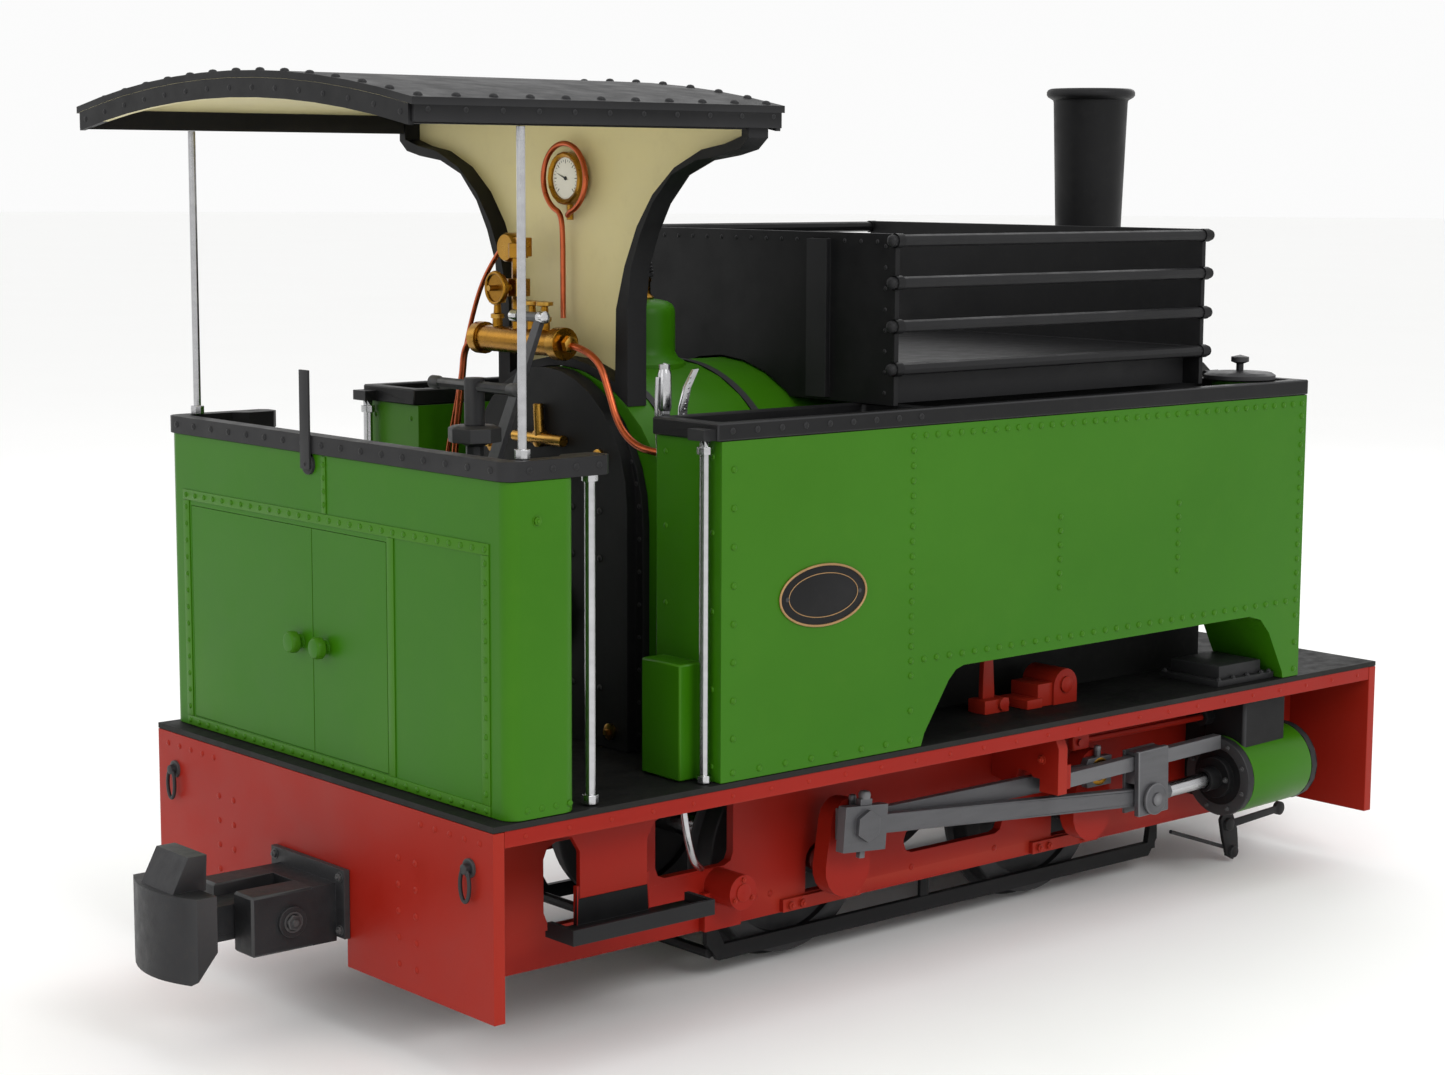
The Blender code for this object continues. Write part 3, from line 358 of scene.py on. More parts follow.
def dress(node, paints, choose=None, edge=0.0005):
    """Gives a CAD node its materials, rounded edges and smooth curved faces.

    choose takes a face's x, distance from the middle, z and normal, and gives a number in paints.
    """
    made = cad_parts[node]
    data = made.data
    paints = paints if isinstance(paints, (list, tuple)) else [paints]
    data.materials.clear()
    for paint in paints:
        data.materials.append(paint)
    for polygon in data.polygons:
        polygon.use_smooth = True
        polygon.material_index = 0
        if choose:
            x, y, z = back(polygon.center)
            polygon.material_index = choose(x, abs(y), z, polygon.normal)
    weld = made.modifiers.new("weld", "WELD")
    weld.merge_threshold = 0.00001
    if edge:
        bevel = made.modifiers.new("edges", "BEVEL")
        bevel.width = edge
        bevel.segments = 2
        bevel.limit_method = "ANGLE"
        bevel.angle_limit = math.radians(38)
        bevel.use_clamp_overlap = True
    normals = made.modifiers.new("normals", "WEIGHTED_NORMAL")
    normals.mode = "FACE_AREA"
    normals.weight = 80
    normals.keep_sharp = False


def footplate_paint(x, y, z, normal):
    return 1 if y > 0.98 and z < -0.015 else 0


def roof_paint(x, y, z, normal):
    return 1 if normal.z < -0.3 and z > 2.08 and y < 0.96 else 0


def board_paint(x, y, z, normal):
    return 1 if normal.x < -0.5 and 1.07 < x < 1.095 else 0


def axle_paint(x, y, z, normal):
    return 1 if y < 0.698 or y > 0.769 else 0


def step_paint(x, y, z, normal):
    return 1 if z < -0.33 else 0


def coping_paint(x, y, z, normal):
    return 1 if z < 1.085 else 0


def rail_paint(x, y, z, normal):
    return 1 if z < 1.018 else 0


def tank_paint(x, y, z, normal):
    inside = 0.92 < x < 1.765 and 0.715 < y < 0.955 and z > 0.77
    return 1 if inside or (normal.z > 0.9 and z > 1.05) else 0


dress("footplate", [MATT, RED], footplate_paint)
for beam in ("rear_beam", "front_beam"):
    dress(beam, RED)
dress("brake_rigging", BLACK)
for axle in ("rear_axle", "front_axle"):
    dress(axle, [RED, STEEL], axle_paint)
for label, hand in SIDES:
    rod_start = 3.265 if hand < 0 else 3.432
    dress("frame_" + label, RED)
    dress("footstep_" + label, [RED, BLACK], step_paint)
    dress("motion_bracket_" + label, RED)
    dress("slide_bar_" + label, GREY)
    dress("cylinder_" + label, BLACK)
    dress("coupling_rod_" + label, GREY)
    dress("crosshead_" + label, [GREY, STEEL], lambda x, *_: 1 if x > rod_start else 0)
    dress("connecting_rod_" + label, GREY)
    dress("valve_spindle_" + label, RED, edge=0.0003)
    dress("tank_" + label, [GREEN, MATT], tank_paint)
    dress("tank_coping_" + label, [BLACK, STEEL], coping_paint, 0.0004)
    dress("filler_lid_" + label, IRON, edge=0.0003)
    dress("roof_post_" + label, STEEL, edge=0.0003)
dress("boiler", GREEN)
dress("smokebox", MATT)
dress("smokebox_door", MATT)
dress("backhead", BLACK)
dress("firehole_door", IRON)
dress("bunker", GREEN)
dress("bunker_door_left", GREEN, edge=0.0004)
dress("bunker_door_right", GREEN, edge=0.0004)
dress("bunker_rail", [BLACK, STEEL], rail_paint)
dress("fuel_basket", BLACK, edge=0.0004)
dress("roof", [BLACK, CREAM], roof_paint)
dress("weatherboard", [BLACK, CREAM], board_paint)
dress("steam_manifold", BRASS, edge=0.0004)
dress("pressure_gauge", BRASS, edge=0.0003)
dress("regulator_lever", GREY, edge=0.0004)
dress("handbrake_column", IRON, edge=0.0004)
dress("handbrake_handle", IRON, edge=0.0004)
dress("reverser_lever", STEEL, edge=0.0003)
for end in ("rear", "front"):
    dress("coupler_housing_" + end, IRON)
    dress("coupler_head_" + end, IRON)


# ---------------------------------------------------------------- tanks and bunker


def tank_details(label, side):
    face = side * TANK_OUT
    out = (0, side, 0)
    shape = Shape()
    lines = [
        ((0.94, 0.030), (1.73, 0.030), 0.11), ((0.94, 0.14), (0.94, 1.0), 0.12),
        ((1.73, 0.13), (1.73, 0.25), 0.10), ((1.73, 0.35), (1.73, 1.01), 0.051),
        ((1.73, 1.058), (3.81, 1.058), 0.056), ((1.73, 0.30), (3.81, 0.30), 0.062),
        ((3.81, 0.35), (3.81, 1.01), 0.056), ((3.81, 0.03), (3.81, 0.24), 0.10),
        ((2.46, 0.48), (2.46, 0.73), 0.05), ((3.10, 0.48), (3.10, 0.73), 0.05),
    ]
    for start, end, pitch in lines:
        for x, z, _ in row((*start, 0), (*end, 0), pitch):
            shape.rivet((x, face, z), out, 0.0112, 0.0075)
    for end_x, way in ((0.89, -1), (3.84, 1)):
        for z in (0.05, 0.30, 0.55, 0.80, 1.04):
            for y in (0.72, 0.95):
                shape.rivet((end_x, side * y, z), (way, 0, 0))
    shape.done(f"tank_rivets_{label}", GREEN)

    shape = Shape()
    for x, y, z in row((0.93, COPING_OUT, 1.122), (1.76, COPING_OUT, 1.122), 0.104):
        shape.rivet((x, side * y, z), out, 0.0115, 0.0055)
    shape.done(f"coping_rivets_{label}", BLACK)

    oval = [(1.325 + 0.19 * math.cos(t), 0.565 + 0.10 * math.sin(t))
            for t in [math.tau * i / 48 for i in range(48)]]
    plate = Shape()
    plate.slab("y", side * 0.9935, side * 0.9985, oval, 0.0015)
    for x in (1.165, 1.485):
        plate.turned([(0, 0.008), (0.002, 0.008), (0.003, 0)], (x, side * 0.9985, 0.565), out, 10)
    plate.done(f"works_plate_{label}", BLACK)
    rim = [(x, side * 0.9985, z) for x, z in oval]
    pipe(f"works_plate_rim_{label}", rim, 0.0042, TAN, closed=True)
    inner = [(1.325 + (x - 1.325) * 0.80, side * 0.9985, 0.565 + (z - 0.565) * 0.72)
             for x, z in oval]
    pipe(f"works_plate_border_{label}", inner, 0.0016, TAN, closed=True)


def bunker_details():
    shape = Shape()
    face = BUNKER_STRAP
    for y0, y1, z0, z1 in ((-0.90, 0.90, 0.795, 0.830), (-0.90, 0.90, 0.004, 0.036),
                           (0.860, 0.90, 0.037, 0.794), (-0.90, -0.860, 0.037, 0.794),
                           (-0.395, -0.360, 0.037, 0.794)):
        shape.block(face, 0.0655, y0, y1, z0, z1, 0.001)
    shape.block(face, 0.0655, -0.012, 0.012, 0.832, 1.015, 0.001)
    shape.done("bunker_straps", GREEN)
    shape = Shape()
    lines = [((0.88, 0.812), (-0.88, 0.812), 0.06), ((0.88, 0.020), (-0.88, 0.020), 0.06),
             ((0.88, 0.07), (0.88, 0.77), 0.06), ((-0.88, 0.07), (-0.88, 0.77), 0.06),
             ((0.0, 0.86), (0.0, 0.99), 0.045)]
    for start, end, pitch in lines:
        for y, z, _ in row((*start, 0), (*end, 0), pitch):
            shape.rivet((face, y, z), (-1, 0, 0), 0.0098, 0.0055)
    for side in (-1, 1):
        for x, z, _ in row((0.13, 0.03, 0), (0.29, 0.03, 0), 0.053):
            shape.rivet((x, side * TANK_OUT, z), (0, side, 0))
        shape.bolt((0.17, side * TANK_OUT, 0.90), (0, side, 0), 0.013, 0.008)
    shape.done("bunker_rivets", GREEN)

    shape = Shape()
    for y, z, _ in row((0.92, 1.052, 0), (-0.92, 1.052, 0), 0.115):
        shape.rivet((0.055, y, z), (-1, 0, 0), 0.0115, 0.0055)
    for side in (-1, 1):
        for x, z, _ in row((0.14, 1.052, 0), (0.40, 1.052, 0), 0.087):
            shape.rivet((x, side * COPING_OUT, z), (0, side, 0), 0.0115, 0.0055)
    shape.block(0.046, 0.0535, 0.058, 0.112, 0.970, 1.289, 0.001)
    shape.turned([(0, 0), (0, 0.034), (0.010, 0.034), (0.012, 0.030), (0.012, 0)],
                 (0.0650, 0.085, 0.985), (-1, 0, 0), 20)
    shape.bolt((0.053, 0.085, 0.985), (-1, 0, 0), 0.010, 0.008)
    shape.done("bunker_rail_fittings", BLACK)


for label, hand in SIDES:
    tank_details(label, hand)
bunker_details()


# ---------------------------------------------------------------- chassis


def beam_details():
    for name, face, way in (("rear", 0.0, -1), ("front", LENGTH, 1)):
        shape = Shape()
        out = (way, 0, 0)
        for side in (-1, 1):
            for column in (0.495, 0.59):
                for y, z, _ in row((side * column, -0.19, 0), (side * column, -0.53, 0), 0.085):
                    shape.rivet((face, y, z), out, 0.0115, 0.0048)
            for y, z, _ in row((side * 0.93, -0.062, 0), (side * 0.62, -0.062, 0), 0.0775):
                shape.rivet((face, y, z), out, 0.0105, 0.0045)
        shape.done(f"{name}_beam_rivets", RED)
        shape = Shape()
        plate = face + way * 0.022
        for side in (-1, 1):
            for z in (-0.31, -0.485):
                shape.bolt((plate, side * 0.195, z), out, 0.013, 0.011)
            shape.bolt((face + way * 0.19, side * 0.186, -0.43), (0, side, 0), 0.026, 0.012)
        shape.done(f"{name}_coupler_bolts", IRON)
        shape = Shape()
        for side in (-1, 1):
            shape.turned([(0, 0), (0, 0.030), (0.008, 0.030), (0.010, 0.018), (0.026, 0.016),
                          (0.030, 0.010), (0.030, 0)], (face, side * 0.88, -0.146), out, 20)
        shape.done(f"{name}_chain_bosses", IRON)
        for label, side in SIDES:
            x = face + way * 0.020
            link = [(x, side * 0.88 + 0.024 * math.cos(t), -0.196 + 0.052 * math.sin(t))
                    for t in [math.tau * i / 16 for i in range(16)]]
            pipe(f"{name}_chain_link_{label}", link, 0.0065, IRON, closed=True)


def frame_details(label, side):
    shape = Shape()
    out = (0, side, 0)
    for axle in (REAR_AXLE, FRONT_AXLE):
        for x in (axle - 0.15, axle - 0.097, axle + 0.097, axle + 0.151):
            shape.bolt((x, side * 0.640, -0.580), out, 0.014, 0.012)
    for x, z in ((1.30, -0.53), (1.37, -0.53), (1.44, -0.53), (2.12, -0.55), (2.55, -0.55)):
        shape.rivet((x, side * FRAME_OUT, z), out, 0.012, 0.005)
    for x, z in ring((1.2, -0.457), 0.044, 3, 90):
        shape.bolt((x, side * 0.754, z), out, 0.009, 0.007)
    shape.turned([(0, 0), (0, 0.030), (0.004, 0.030), (0.005, 0.027), (0.005, 0)],
                 (1.2, side * 0.754, -0.457), out, 24)
    for x in (0.36, 0.45, 0.68, 0.77):
        shape.rivet((x, side * 0.861, -0.05), out, 0.010, 0.0045)
    shape.bolt((2.5735, side * 0.87, -0.17), (1, 0, 0), 0.014, 0.012)
    shape.bolt((2.5265, side * 0.87, -0.17), (-1, 0, 0), 0.014, 0.012)
    for x, y, z in row((0.12, 0.998, -0.045), (4.22, 0.998, -0.045), 0.165):
        shape.rivet((x, side * y, z), out, 0.0075, 0.0035)
    shape.done(f"frame_bolts_{label}", RED)

    arm = Shape()
    arm.slab("y", side * 0.705, side * 0.727,
             [(2.362, 0.03), (2.425, 0.03), (2.408, 0.27), (2.368, 0.27)], 0.002)
    arm.block(2.335, 2.46, *sorted((side * 0.68, side * 0.765)), DECK, 0.05, 0.003)
    arm.turned([(0, 0), (0, 0.024), (0.012, 0.024), (0.014, 0.020), (0.014, 0)],
               (2.425, side * 0.765, 0.032), out, 20)
    arm.done(f"rocker_arm_{label}", RED)
    crown = [(2.7225 + 0.0625 * math.cos(t), 0.068 + 0.0625 * math.sin(t))
             for t in [math.pi * i / 12 for i in range(13)]]
    bracket = Shape()
    bracket.slab("y", side * 0.64, side * 0.80, [(2.785, DECK)] + crown + [(2.66, DECK)],
                 0.003)
    bracket.block(2.585, 2.665, *sorted((side * 0.655, side * 0.79)), DECK, 0.085, 0.004)
    bracket.block(2.52, 2.60, *sorted((side * 0.66, side * 0.80)), DECK, 0.035, 0.004)
    bracket.turned([(0, 0), (0, 0.030), (0.008, 0.030), (0.011, 0.026), (0.011, 0)],
                   (2.7225, side * 0.80, 0.072), out, 24)
    bracket.done(f"die_bracket_{label}", RED)


def cylinder_details(label, side):
    out = (0, side, 0)
    y = side * CYLINDER_Y
    shape = Shape()
    shape.turned([(0, 0.1505), (0, 0.152), (0.004, 0.153), (0.350, 0.153), (0.354, 0.152),
                  (0.354, 0.1505)], (3.603, y, AXLE_Z), (1, 0, 0), 56)
    shape.tilt()
    shape.done(f"cylinder_lagging_{label}", GREEN)
    shape = Shape()
    for x, way in ((3.5705, -1), (3.9905, 1)):
        for dy, dz in ring((y, AXLE_Z), 0.130, 8, 22.5):
            shape.bolt((x, dy, dz), (way, 0, 0), 0.010, 0.010)
        shape.turned([(0, 0.154), (0.003, 0.152), (0.003, 0.112), (0, 0.110)],
                     (x, y, AXLE_Z), (way, 0, 0), 56)
    for dy, dz in ring((y, AXLE_Z), 0.062, 2, 0):
        shape.bolt((3.5405, dy, dz), (-1, 0, 0), 0.009, 0.010)
    shape.tilt()
    shape.done(f"cylinder_cover_bolts_{label}", IRON)
    chest = Shape()
    chest.block(3.40, 3.735, *sorted((side * 0.675, side * 0.96)), DECK, 0.024, 0.003)
    chest.block(3.43, 3.68, *sorted((side * 0.70, side * 0.94)), 0.0235, 0.075, 0.008)
    for x in (3.415, 3.50, 3.585, 3.67, 3.715):
        for dy in (0.686, 0.95):
            chest.bolt((x, side * dy, 0.024), (0, 0, 1), 0.009, 0.008)
    chest.done(f"chest_cover_{label}", BLACK)
    drain = Shape()
    drain.slab("y", side * 0.605, side * 0.620,
               [(3.868, -0.650), (3.885, -0.625), (3.945, -0.635), (3.975, -0.700),
                (3.985, -0.780), (3.955, -0.825), (3.915, -0.805), (3.885, -0.720)], 0.002)
    drain.slab("y", side * 0.622, side * 0.632,
               [(3.905, -0.688), (4.240, -0.668), (4.240, -0.640), (3.905, -0.656)], 0.002)
    for x, z, radius in ((3.914, -0.672, 0.026), (3.947, -0.790, 0.024), (4.235, -0.654, 0.028)):
        drain.turned([(0, 0), (0, radius), (0.018, radius), (0.021, radius * 0.8), (0.021, 0)],
                     (x, side * 0.614, z), out, 20)
    drain.rod((3.58, side * 0.60, -0.655), (3.93, side * 0.60, -0.775), 0.008, 12)
    drain.done(f"drain_links_{label}", BLACK)


def crosshead_spot(side):
    """The gudgeon pin's place along the tilted axis, and in the world."""
    pin = (REAR_AXLE, AXLE_Z + THROW) if side < 0 else (REAR_AXLE + THROW, AXLE_Z)
    angle = math.atan2(pin[1] - AXLE_Z, pin[0] - REAR_AXLE) - SLOPE
    reach = THROW * math.cos(angle) + math.sqrt(ROD_LENGTH**2 - (THROW * math.sin(angle)) ** 2)
    return (REAR_AXLE + reach, pin, REAR_AXLE + reach * math.cos(SLOPE),
            AXLE_Z + reach * math.sin(SLOPE))


def motion_details(label, side):
    out = (0, side, 0)
    along, pin, head_x, head_z = crosshead_spot(side)
    shape = Shape()
    shape.turned([(0, 0), (0, 0.056), (0.006, 0.060), (0.014, 0.060), (0.018, 0.054),
                  (0.018, 0.026), (0.024, 0.024), (0.024, 0)],
                 (along, side * 0.8852, AXLE_Z), out, 32)
    shape.tilt()
    shape.done(f"crosshead_boss_{label}", GREY, body=f"crosshead_{label}")

    shape = Shape()
    for x in (pin[0], pin[0] + FRONT_AXLE - REAR_AXLE):
        shape.turned([(0, 0.0352), (0, 0.052), (0.0012, 0.052), (0.0017, 0.050), (0.0017, 0.0352)],
                     (x, side * 0.7995, pin[1]), out, 32)
    shape.done(f"coupling_rod_bushes_{label}", BRASS, body=f"coupling_rod_{label}")
    cups = Shape()
    for x in (pin[0], pin[0] + FRONT_AXLE - REAR_AXLE):
        cups.turned([(0, 0), (0, 0.012), (0.010, 0.0142), (0.018, 0.0115), (0.022, 0)],
                    (x, side * 0.785, pin[1] + 0.077), (0, 0, 1), 16)
    cups.done(f"coupling_rod_cups_{label}", GREY, body=f"coupling_rod_{label}")

    dip = math.atan2(head_z - pin[1], head_x - pin[0])
    about = at(head_x, 0, head_z)
    turn = (Matrix.Translation(about) @ Matrix.Rotation(-dip, 4, "Y")
            @ Matrix.Translation(-about))
    end = head_x - ROD_LENGTH
    cup = Shape()
    cup.turned([(0, 0), (0, 0.020), (0.016, 0.022), (0.026, 0.017), (0.030, 0)],
               (end, side * CYLINDER_Y, head_z + 0.0905), (0, 0, 1), 16)
    cup.move(turn)
    cup.done(f"big_end_cup_{label}", GREY, body=f"connecting_rod_{label}")


def wheel_shape(wheel, x, side, body):
    """A wheel with a coned tread, a rounded flange and a dished web."""
    hole = 0.0564
    loop = [(-0.005, hole), (-0.005, 0.112), (0.000, 0.120), (0.018, 0.122), (0.024, 0.135),
            (0.030, 0.270), (0.026, 0.288), (0.000, 0.292), (-0.001, 0.372), (0.003, 0.386),
            (0.009, 0.390), (0.015, 0.386), (0.019, 0.374), (0.026, 0.3655), (0.096, 0.3625),
            (0.100, 0.358), (0.100, 0.300), (0.097, 0.293), (0.076, 0.290), (0.070, 0.275),
            (0.062, 0.140), (0.066, 0.124), (0.106, 0.120), (0.112, 0.114), (0.112, hole)]
    shape = Shape()
    shape.turned(loop, (x, side * 0.3638, AXLE_Z), (0, side, 0), 72, loop=True)
    shape.done(f"{wheel}_shape", IRON, body=body, stands_for=wheel)


beam_details()
for label, hand in SIDES:
    frame_details(label, hand)
    cylinder_details(label, hand)
    motion_details(label, hand)
    wheel_shape(f"rear_wheel_{label}", REAR_AXLE, hand, "rear_wheelset")
    wheel_shape(f"front_wheel_{label}", FRONT_AXLE, hand, "front_wheelset")


# ---------------------------------------------------------------- boiler, chimney and dome


def boiler_details():
    shape = Shape()
    for x in (1.125, 1.53, 2.35, 3.10):
        shape.turned([(0, 0.6145), (0, 0.6185), (0.030, 0.6185), (0.030, 0.6145)],
                     (x, 0, BOILER_Z), (1, 0, 0), 96)
    shape.done("boiler_bands", BLACK)

    shape = Shape()
    base = [(1.16, 0.212), (1.270, 0.212), (1.282, 0.207), (1.296, 0.192), (1.312, 0.168),
            (1.335, 0.147), (1.360, 0.135), (1.400, 0.129), (1.450, 0.128)]
    neck = [(1.73, 0.132), (2.205, 0.1475), (2.214, 0.150), (2.220, 0.160), (2.226, 0.170),
            (2.234, 0.1755), (2.246, 0.1755), (2.255, 0.170), (2.2595, 0.160), (2.2595, 0.112),
            (2.255, 0.105), (1.16, 0.100)]
    shape.turned(base + neck, (CHIMNEY_X, 0, 0), (0, 0, 1), 72)
    for x, y in ring((CHIMNEY_X, 0), 0.192, 8, 22.5):
        shape.bolt((x, y, 1.286 - 0.03 * abs(y) / 0.19), (0, 0, 1), 0.011, 0.010)
    shape.done("chimney_shape", BLACK, stands_for="chimney")

    shape = Shape()
    shape.turned([(1.16, 0.150), (1.262, 0.150), (1.270, 0.143), (1.280, 0.124), (1.300, 0.1125),
                  (1.325, 0.112), (1.430, 0.112), (1.450, 0.110), (1.466, 0.101), (1.476, 0.084),
                  (1.482, 0.055), (1.484, 0.029), (1.484, 0)], (DOME_X, 0, 0), (0, 0, 1), 64)
    shape.done("dome_casing", GREEN, stands_for="dome")
    shape = Shape()
    shape.turned([(1.482, 0), (1.482, 0.036), (1.490, 0.038), (1.498, 0.030), (1.504, 0.026),
                  (1.540, 0.025), (1.546, 0.029), (1.556, 0.029), (1.560, 0)],
                 (DOME_X, 0, 0), (0, 0, 1), 32)
    shape.done("safety_valve_seat", BRASS)
    bell = [(1.556, 0), (1.556, 0.020), (1.562, 0.034)]
    for i in range(5):
        level = 1.568 + i * 0.0115
        bell += [(level, 0.0365 - 0.002 * i), (level + 0.006, 0.0365 - 0.002 * i),
                 (level + 0.008, 0.0315 - 0.002 * i)]
    bell += [(1.634, 0.026), (1.66, 0.0225), (1.688, 0.0185), (1.690, 0)]
    shape = Shape()
    shape.turned(bell, (DOME_X, 0, 0), (0, 0, 1), 32)
    shape.done("safety_valve_bell", BLACK)

    shape = Shape()
    for y, z in ring((0, BOILER_Z), 0.585, 28):
        shape.rivet((4.020, y, z), (1, 0, 0), 0.0125, 0.0055)
    for y, z in ring((0, BOILER_Z), 0.525, 8, 22.5):
        shape.block(4.020, 4.040, y - 0.018, y + 0.018, z - 0.018, z + 0.018, 0.003)
        shape.bolt((4.040, y, z), (1, 0, 0), 0.011, 0.009)
    shape.done("smokebox_front_rivets", MATT)


boiler_details()


# ---------------------------------------------------------------- roof and cab


def roof_details():
    shape = Shape()
    for side in (-1, 1):
        tilt = (0, side * 0.19, 1)
        for x, _, _ in row((-0.21, 0, 0), (1.10, 0, 0), 0.131):
            shape.rivet((x, side * 0.955, roof_level(0.955)), tilt, 0.0145, 0.0095)
    for x in (-0.228, 1.122):
        for y, _, _ in row((-0.84, 0, 0), (0.84, 0, 0), 0.14):
            shape.rivet((x, y, roof_level(y)), (0, 0.195 * y, 1), 0.0145, 0.0095)
    for x, way in ((-0.2545, -1), (1.1465, 1)):
        for y, _, _ in row((-0.93, 0, 0), (0.93, 0, 0), 0.13):
            shape.rivet((x, y, roof_level(y) - 0.052), (way, 0, 0), 0.009, 0.004)
    for side in (-1, 1):
        for x, _, _ in row((-0.20, 0, 0), (1.10, 0, 0), 0.13):
            shape.rivet((x, side * 0.989, 2.095), (0, side, 0), 0.009, 0.004)
    shape.done("roof_rivets", BLACK)


def gauge_details():
    shape = Shape()
    shape.turned([(0, 0), (0, 0.0705), (0.0015, 0.0705), (0.0015, 0)],
                 (1.0430, 0, GAUGE_Z), (-1, 0, 0), 48)
    shape.done("gauge_dial", DIAL)
    marks = Shape()
    for i in range(25):
        angle = math.radians(225 - 11.25 * i)
        reach = 0.050 if i % 4 == 0 else 0.056
        one, two = (Vector((0, -math.cos(angle), math.sin(angle))) * r for r in (reach, 0.063))
        side = Vector((0, math.sin(angle), math.cos(angle))) * (0.0014 if i % 4 == 0 else 0.0008)
        corners = [one - side, one + side, two + side, two - side]
        marks.slab("x", 1.0408, 1.0412, [(c.y, GAUGE_Z + c.z) for c in corners], 0)
    marks.turned([(0, 0), (0, 0.007), (0.003, 0.006), (0.003, 0)], (1.0410, 0, GAUGE_Z), (-1, 0, 0),
                 20)
    angle = math.radians(160)
    tip = Vector((0, -math.cos(angle), math.sin(angle)))
    wide = Vector((0, math.sin(angle), math.cos(angle))) * 0.0022
    hand = [wide, tip * 0.056, -wide, -tip * 0.018]
    marks.slab("x", 1.0385, 1.0392, [(c.y, GAUGE_Z + c.z) for c in hand], 0)
    marks.done("gauge_marks", BLACK)
    loop = [(1.035, 0.118 * math.sin(t), GAUGE_Z - 0.118 * math.cos(t))
            for t in [math.radians(12 + 336 * i / 20) for i in range(21)]]
    pipe("gauge_loop", [(1.035, 0.008, 1.427), (1.035, 0.008, 1.60), (1.035, 0.010, 1.74)] + loop
         + [(1.045, -0.006, 1.775)], 0.0095, COPPER)


def cab_pipes():
    x = MANIFOLD_X
    left = [(x, 0.36, MANIFOLD_Z), (x, 0.40, 1.345), (x, 0.450, 1.30), (x, 0.462, 1.21),
            (x, 0.484, 1.10), (x, 0.52, 0.90), (x, 0.52, 0.55), (x, 0.50, 0.20), (x, 0.49, 0.002)]
    pipe("steam_pipe_left", left, 0.0125, COPPER)
    right = [(x, -0.135, MANIFOLD_Z), (x, -0.20, 1.343), (x, -0.275, 1.322), (x, -0.330, 1.285),
             (x, -0.371, 1.204), (x, -0.420, 1.095), (x, -0.508, 1.035), (x, -0.62, 1.022),
             (0.96, -0.665, 1.02)]
    pipe("steam_pipe_right", right, 0.0125, COPPER)
    arc = [(x, 0.13, 1.69), (x, 0.17, 1.70), (x, 0.25, 1.64), (x, 0.34, 1.54), (x, 0.40, 1.42),
           (x, 0.455, 1.27), (x, 0.50, 1.10), (x, 0.57, 0.90), (x, 0.60, 0.60), (x, 0.60, 0.002)]
    pipe("blower_pipe", arc, 0.0085, COPPER)
    shape = Shape()
    for y in (-0.02, 0.05, 0.25):
        shape.turned([(0, 0), (0, 0.024), (0.014, 0.024), (0.018, 0.014), (0.050, 0.012),
                      (0.054, 0.030), (0.066, 0.030), (0.070, 0)], (x, y, 1.42), (0, 0, 1), 12)
    for y in (-0.148, 0.362):
        shape.turned([(0, 0), (0, 0.030), (0.022, 0.030), (0.026, 0.02), (0.026, 0)],
                     (x, y, MANIFOLD_Z), (0, 1 if y > 0 else -1, 0), 6)
    shape.turned([(0, 0), (0, 0.045), (0.010, 0.050), (0.050, 0.050), (0.060, 0.044), (0.060, 0)],
                 (0.965, 0.165, 1.665), (-1, 0, 0), 28)
    shape.block(0.915, 0.955, 0.075, 0.13, 1.635, 1.70, 0.004)
    shape.turned([(0, 0), (0, 0.010), (0.03, 0.010), (0.03, 0)], (0.84, 0.13, 1.53), (-1, 0, 0),
                 12)
    shape.done("manifold_valves", BRASS)
    wheel = [(0.84, 0.13 + 0.052 * math.cos(t), 1.53 + 0.052 * math.sin(t))
             for t in [math.tau * i / 24 for i in range(24)]]
    pipe("stop_valve_rim", wheel, 0.007, BRASS, closed=True)
    shape = Shape()
    shape.rod((0.93, 0.003, 1.016), (0.93, 0.013, 1.140), 0.018, 16)
    shape.rod((0.93, -0.13, 1.022), (0.93, 0.146, 1.022), 0.020, 16)
    shape.turned([(0, 0), (0, 0.030), (0.03, 0.030), (0.034, 0.020), (0.034, 0)],
                 (0.95, 0.008, 1.022), (-1, 0, 0), 24)
    shape.done("injector_valve", BRASS)
    shape = Shape()
    stays = [(y, z) for y in (-0.30, -0.15, 0.15, 0.30) for z in (0.20, 0.64, 0.80)]
    for y, z in stays:
        shape.rivet((BACKHEAD_X, y, z), (-1, 0, 0), 0.012, 0.006)
    for t in [math.radians(6 + 168 * i / 18) for i in range(19)]:
        shape.rivet((0.990, 0.462 * math.cos(t), 0.78 + 0.464 * math.sin(t)), (-1, 0, 0),
                    0.008, 0.004)
    for z in (0.06, 0.17, 0.28, 0.39, 0.50, 0.61, 0.72):
        for y in (-0.462, 0.462):
            shape.rivet((0.990, y, z), (-1, 0, 0), 0.008, 0.004)
    shape.done("backhead_stays", BLACK)
    shape = Shape()
    for y, z in ((-0.36, 0.06), (0.36, 0.06), (-0.30, 0.98), (0.30, 0.98)):
        shape.turned([(0, 0), (0, 0.028), (0.010, 0.028), (0.012, 0.024), (0.012, 0)],
                     (BACKHEAD_X, y, z), (-1, 0, 0), 24)
        shape.turned([(0.012, 0.013), (0.028, 0.012), (0.028, 0)], (BACKHEAD_X, y, z), (-1, 0, 0),
                     4)
    shape.done("washout_plugs", BRASS)


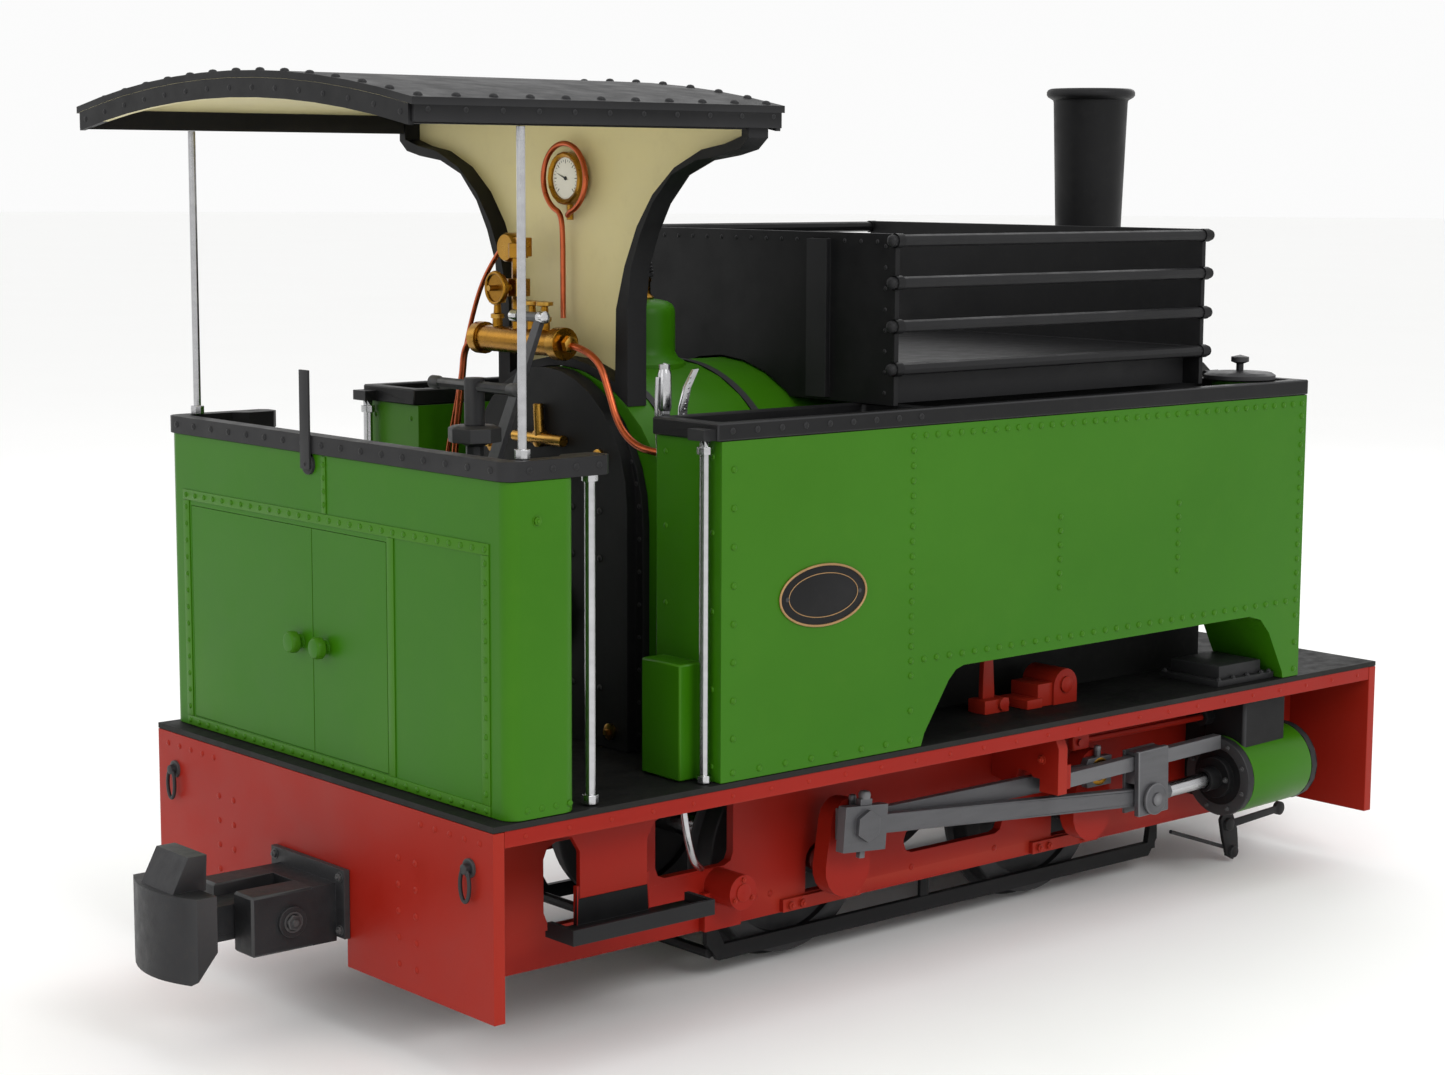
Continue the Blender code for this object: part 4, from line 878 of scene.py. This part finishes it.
def lever_details():
    outer = [(0.985, 1.10), (0.990, 1.17), (1.010, 1.235), (1.045, 1.290)]
    inner = [(1.068, 1.292), (1.036, 1.235), (1.020, 1.17), (1.020, 1.10)]
    shape = Shape()
    shape.slab("y", -0.672, -0.660, outer + inner, 0.001)
    for i in range(9):
        shape.rivet((1.000 + 0.004 * i, -0.672, 1.13 + 0.017 * i), (0, -1, 0), 0.004, 0.002)
    shape.done("reverser_quadrant", STEEL)
    shape = Shape()
    shape.turned([(0, 0), (0, 0.020), (0.01, 0.024), (0.12, 0.022), (0.15, 0.012), (0.155, 0)],
                 (*REVERSER, 1.160), (0, 0, 1), 24)
    shape.done("reverser_grip", STEEL, body="reverser_lever")
    pipe("reverser_trigger", [(0.925, -0.643, 0.98), (0.915, -0.643, 1.10), (0.912, -0.643, 1.20),
                              (0.918, -0.643, 1.27)], 0.006, STEEL, body="reverser_lever")
    shape = Shape()
    for y, way in ((-0.46, -1), (0.02, 1)):
        shape.turned([(0, 0), (0, 0.018), (0.01, 0.022), (0.045, 0.022), (0.055, 0.012),
                      (0.055, 0)], (0.50, y + way * -0.05, 1.235), (0, way, 0), 16)
    shape.done("handbrake_grips", IRON, body="handbrake_handle")
    shape = Shape()
    for x, y in ring(HANDBRAKE, 0.058, 4, 45):
        shape.bolt((x, y, 0.018), (0, 0, 1), 0.009, 0.008)
    shape.done("handbrake_bolts", IRON)
    shape = Shape()
    for y, way in ((-0.19, -1), (-0.01, 1)):
        shape.turned([(-0.035, 0), (-0.035, 0.0175), (-0.028, 0.021), (0.0, 0.021), (0.008, 0)],
                     (0.81, y, 1.444), (0, way, 0), 16)
    shape.done("regulator_grips", STEEL, body="regulator_lever")
    pipe("footstep_pipe", [(0.90, -0.78, -0.02), (0.905, -0.80, -0.16), (0.93, -0.80, -0.27),
                           (0.99, -0.76, -0.33), (1.06, -0.70, -0.36)], 0.012, STEEL)


def rack_details():
    shape = Shape()
    for side in (-1, 1):
        for z in (1.272, 1.415, 1.56, 1.70):
            for x, way in ((1.722, -1), (3.363, 1)):
                shape.turned([(-0.002, 0.0212), (0.006, 0.019), (0.012, 0.012), (0.014, 0)],
                             (x, side * 0.888, z), (way, 0, 0), 20)
            for x in (1.75, 3.335):
                shape.turned([(-0.016, 0.0245), (0.016, 0.0245)], (x, side * 0.888, z), (1, 0, 0),
                             20)
    for x, way in ((1.74, -1), (3.345, 1)):
        for y in (-0.84, 0.84):
            for _, z, _ in row((0, 1.19, 0), (0, 1.68, 0), 0.07):
                shape.rivet((x, y, z), (way, 0, 0), 0.008, 0.0035)
        for y, _, _ in row((-0.80, 0, 0), (0.80, 0, 0), 0.08):
            shape.rivet((x, y, 1.695), (way, 0, 0), 0.008, 0.0035)
    # The black plates along the lower sides of the basket are painted shade: they hide the green
    # boiler under the basket and stand in for the shade it lies in there.
    for side in (-1, 1):
        shape.block(1.762, 3.322, *sorted((side * 0.800, side * 0.812)), 1.150, 1.2755, 0.001)
    shape.done("rack_fittings_and_shade_plates", BLACK)


roof_details()
gauge_details()
cab_pipes()
lever_details()
rack_details()


# ---------------------------------------------------------------- floor, light and camera


def studio():
    data = bpy.data.meshes.new("floor")
    disc = bmesh.new()
    bmesh.ops.create_circle(disc, cap_ends=True, segments=64, radius=40)
    disc.to_mesh(data)
    disc.free()
    data.materials.append(FLOOR)
    floor = bpy.data.objects.new("floor", data)
    bpy.context.scene.collection.objects.link(floor)

    world = bpy.data.worlds.new("studio")
    world.use_nodes = True
    world.node_tree.nodes["Background"].inputs["Color"].default_value = (1.0, 1.0, 1.0, 1.0)
    world.node_tree.nodes["Background"].inputs["Strength"].default_value = 0.97
    bpy.context.scene.world = world
    middle = Vector((0, 0, 0.3))
    lamps = [  # name, place, size in metres, power in watts
        ("key", (-0.6, -3.4, 2.6), 1.4, 42),
        ("side", (-3.4, -0.6, 1.6), 1.6, 9),
        ("top", (0.2, 0.3, 3.2), 2.2, 12),
        ("rear", (-2.2, 2.8, 1.8), 1.6, 9),
        ("front", (3.2, 1.6, 2.0), 1.6, 10),
    ]
    for name, place, size, power in lamps:
        data = bpy.data.lights.new(name, "AREA")
        data.size = size
        data.energy = power
        lamp = bpy.data.objects.new(name, data)
        lamp.location = place
        lamp.rotation_euler = (middle - Vector(place)).to_track_quat("-Z", "Y").to_euler()
        bpy.context.scene.collection.objects.link(lamp)
    bpy.context.scene.view_settings.view_transform = "Standard"

    spot, lens = (-1.5843, -1.7246, 0.6485), 67.24  # the photo's camera, in metres and mm
    azimuth, fall, roll = 0.85955, 0.13472, 0.0047  # where it looks, in radians
    ahead = Vector((math.cos(fall) * math.cos(azimuth), math.cos(fall) * math.sin(azimuth),
                    -math.sin(fall)))
    level = ahead.cross(Vector((0, 0, 1))).normalized()
    above = level.cross(ahead)
    right = math.cos(roll) * level + math.sin(roll) * above
    up = math.cos(roll) * above - math.sin(roll) * level
    data = bpy.data.cameras.new("camera")
    data.lens = lens
    data.sensor_width = 36.0
    data.clip_start = 0.02
    camera = bpy.data.objects.new("camera", data)
    turn = Matrix((right, up, -ahead)).transposed().to_4x4()
    camera.matrix_world = Matrix.Translation(spot) @ turn
    bpy.context.scene.collection.objects.link(camera)
    bpy.context.scene.camera = camera


studio()
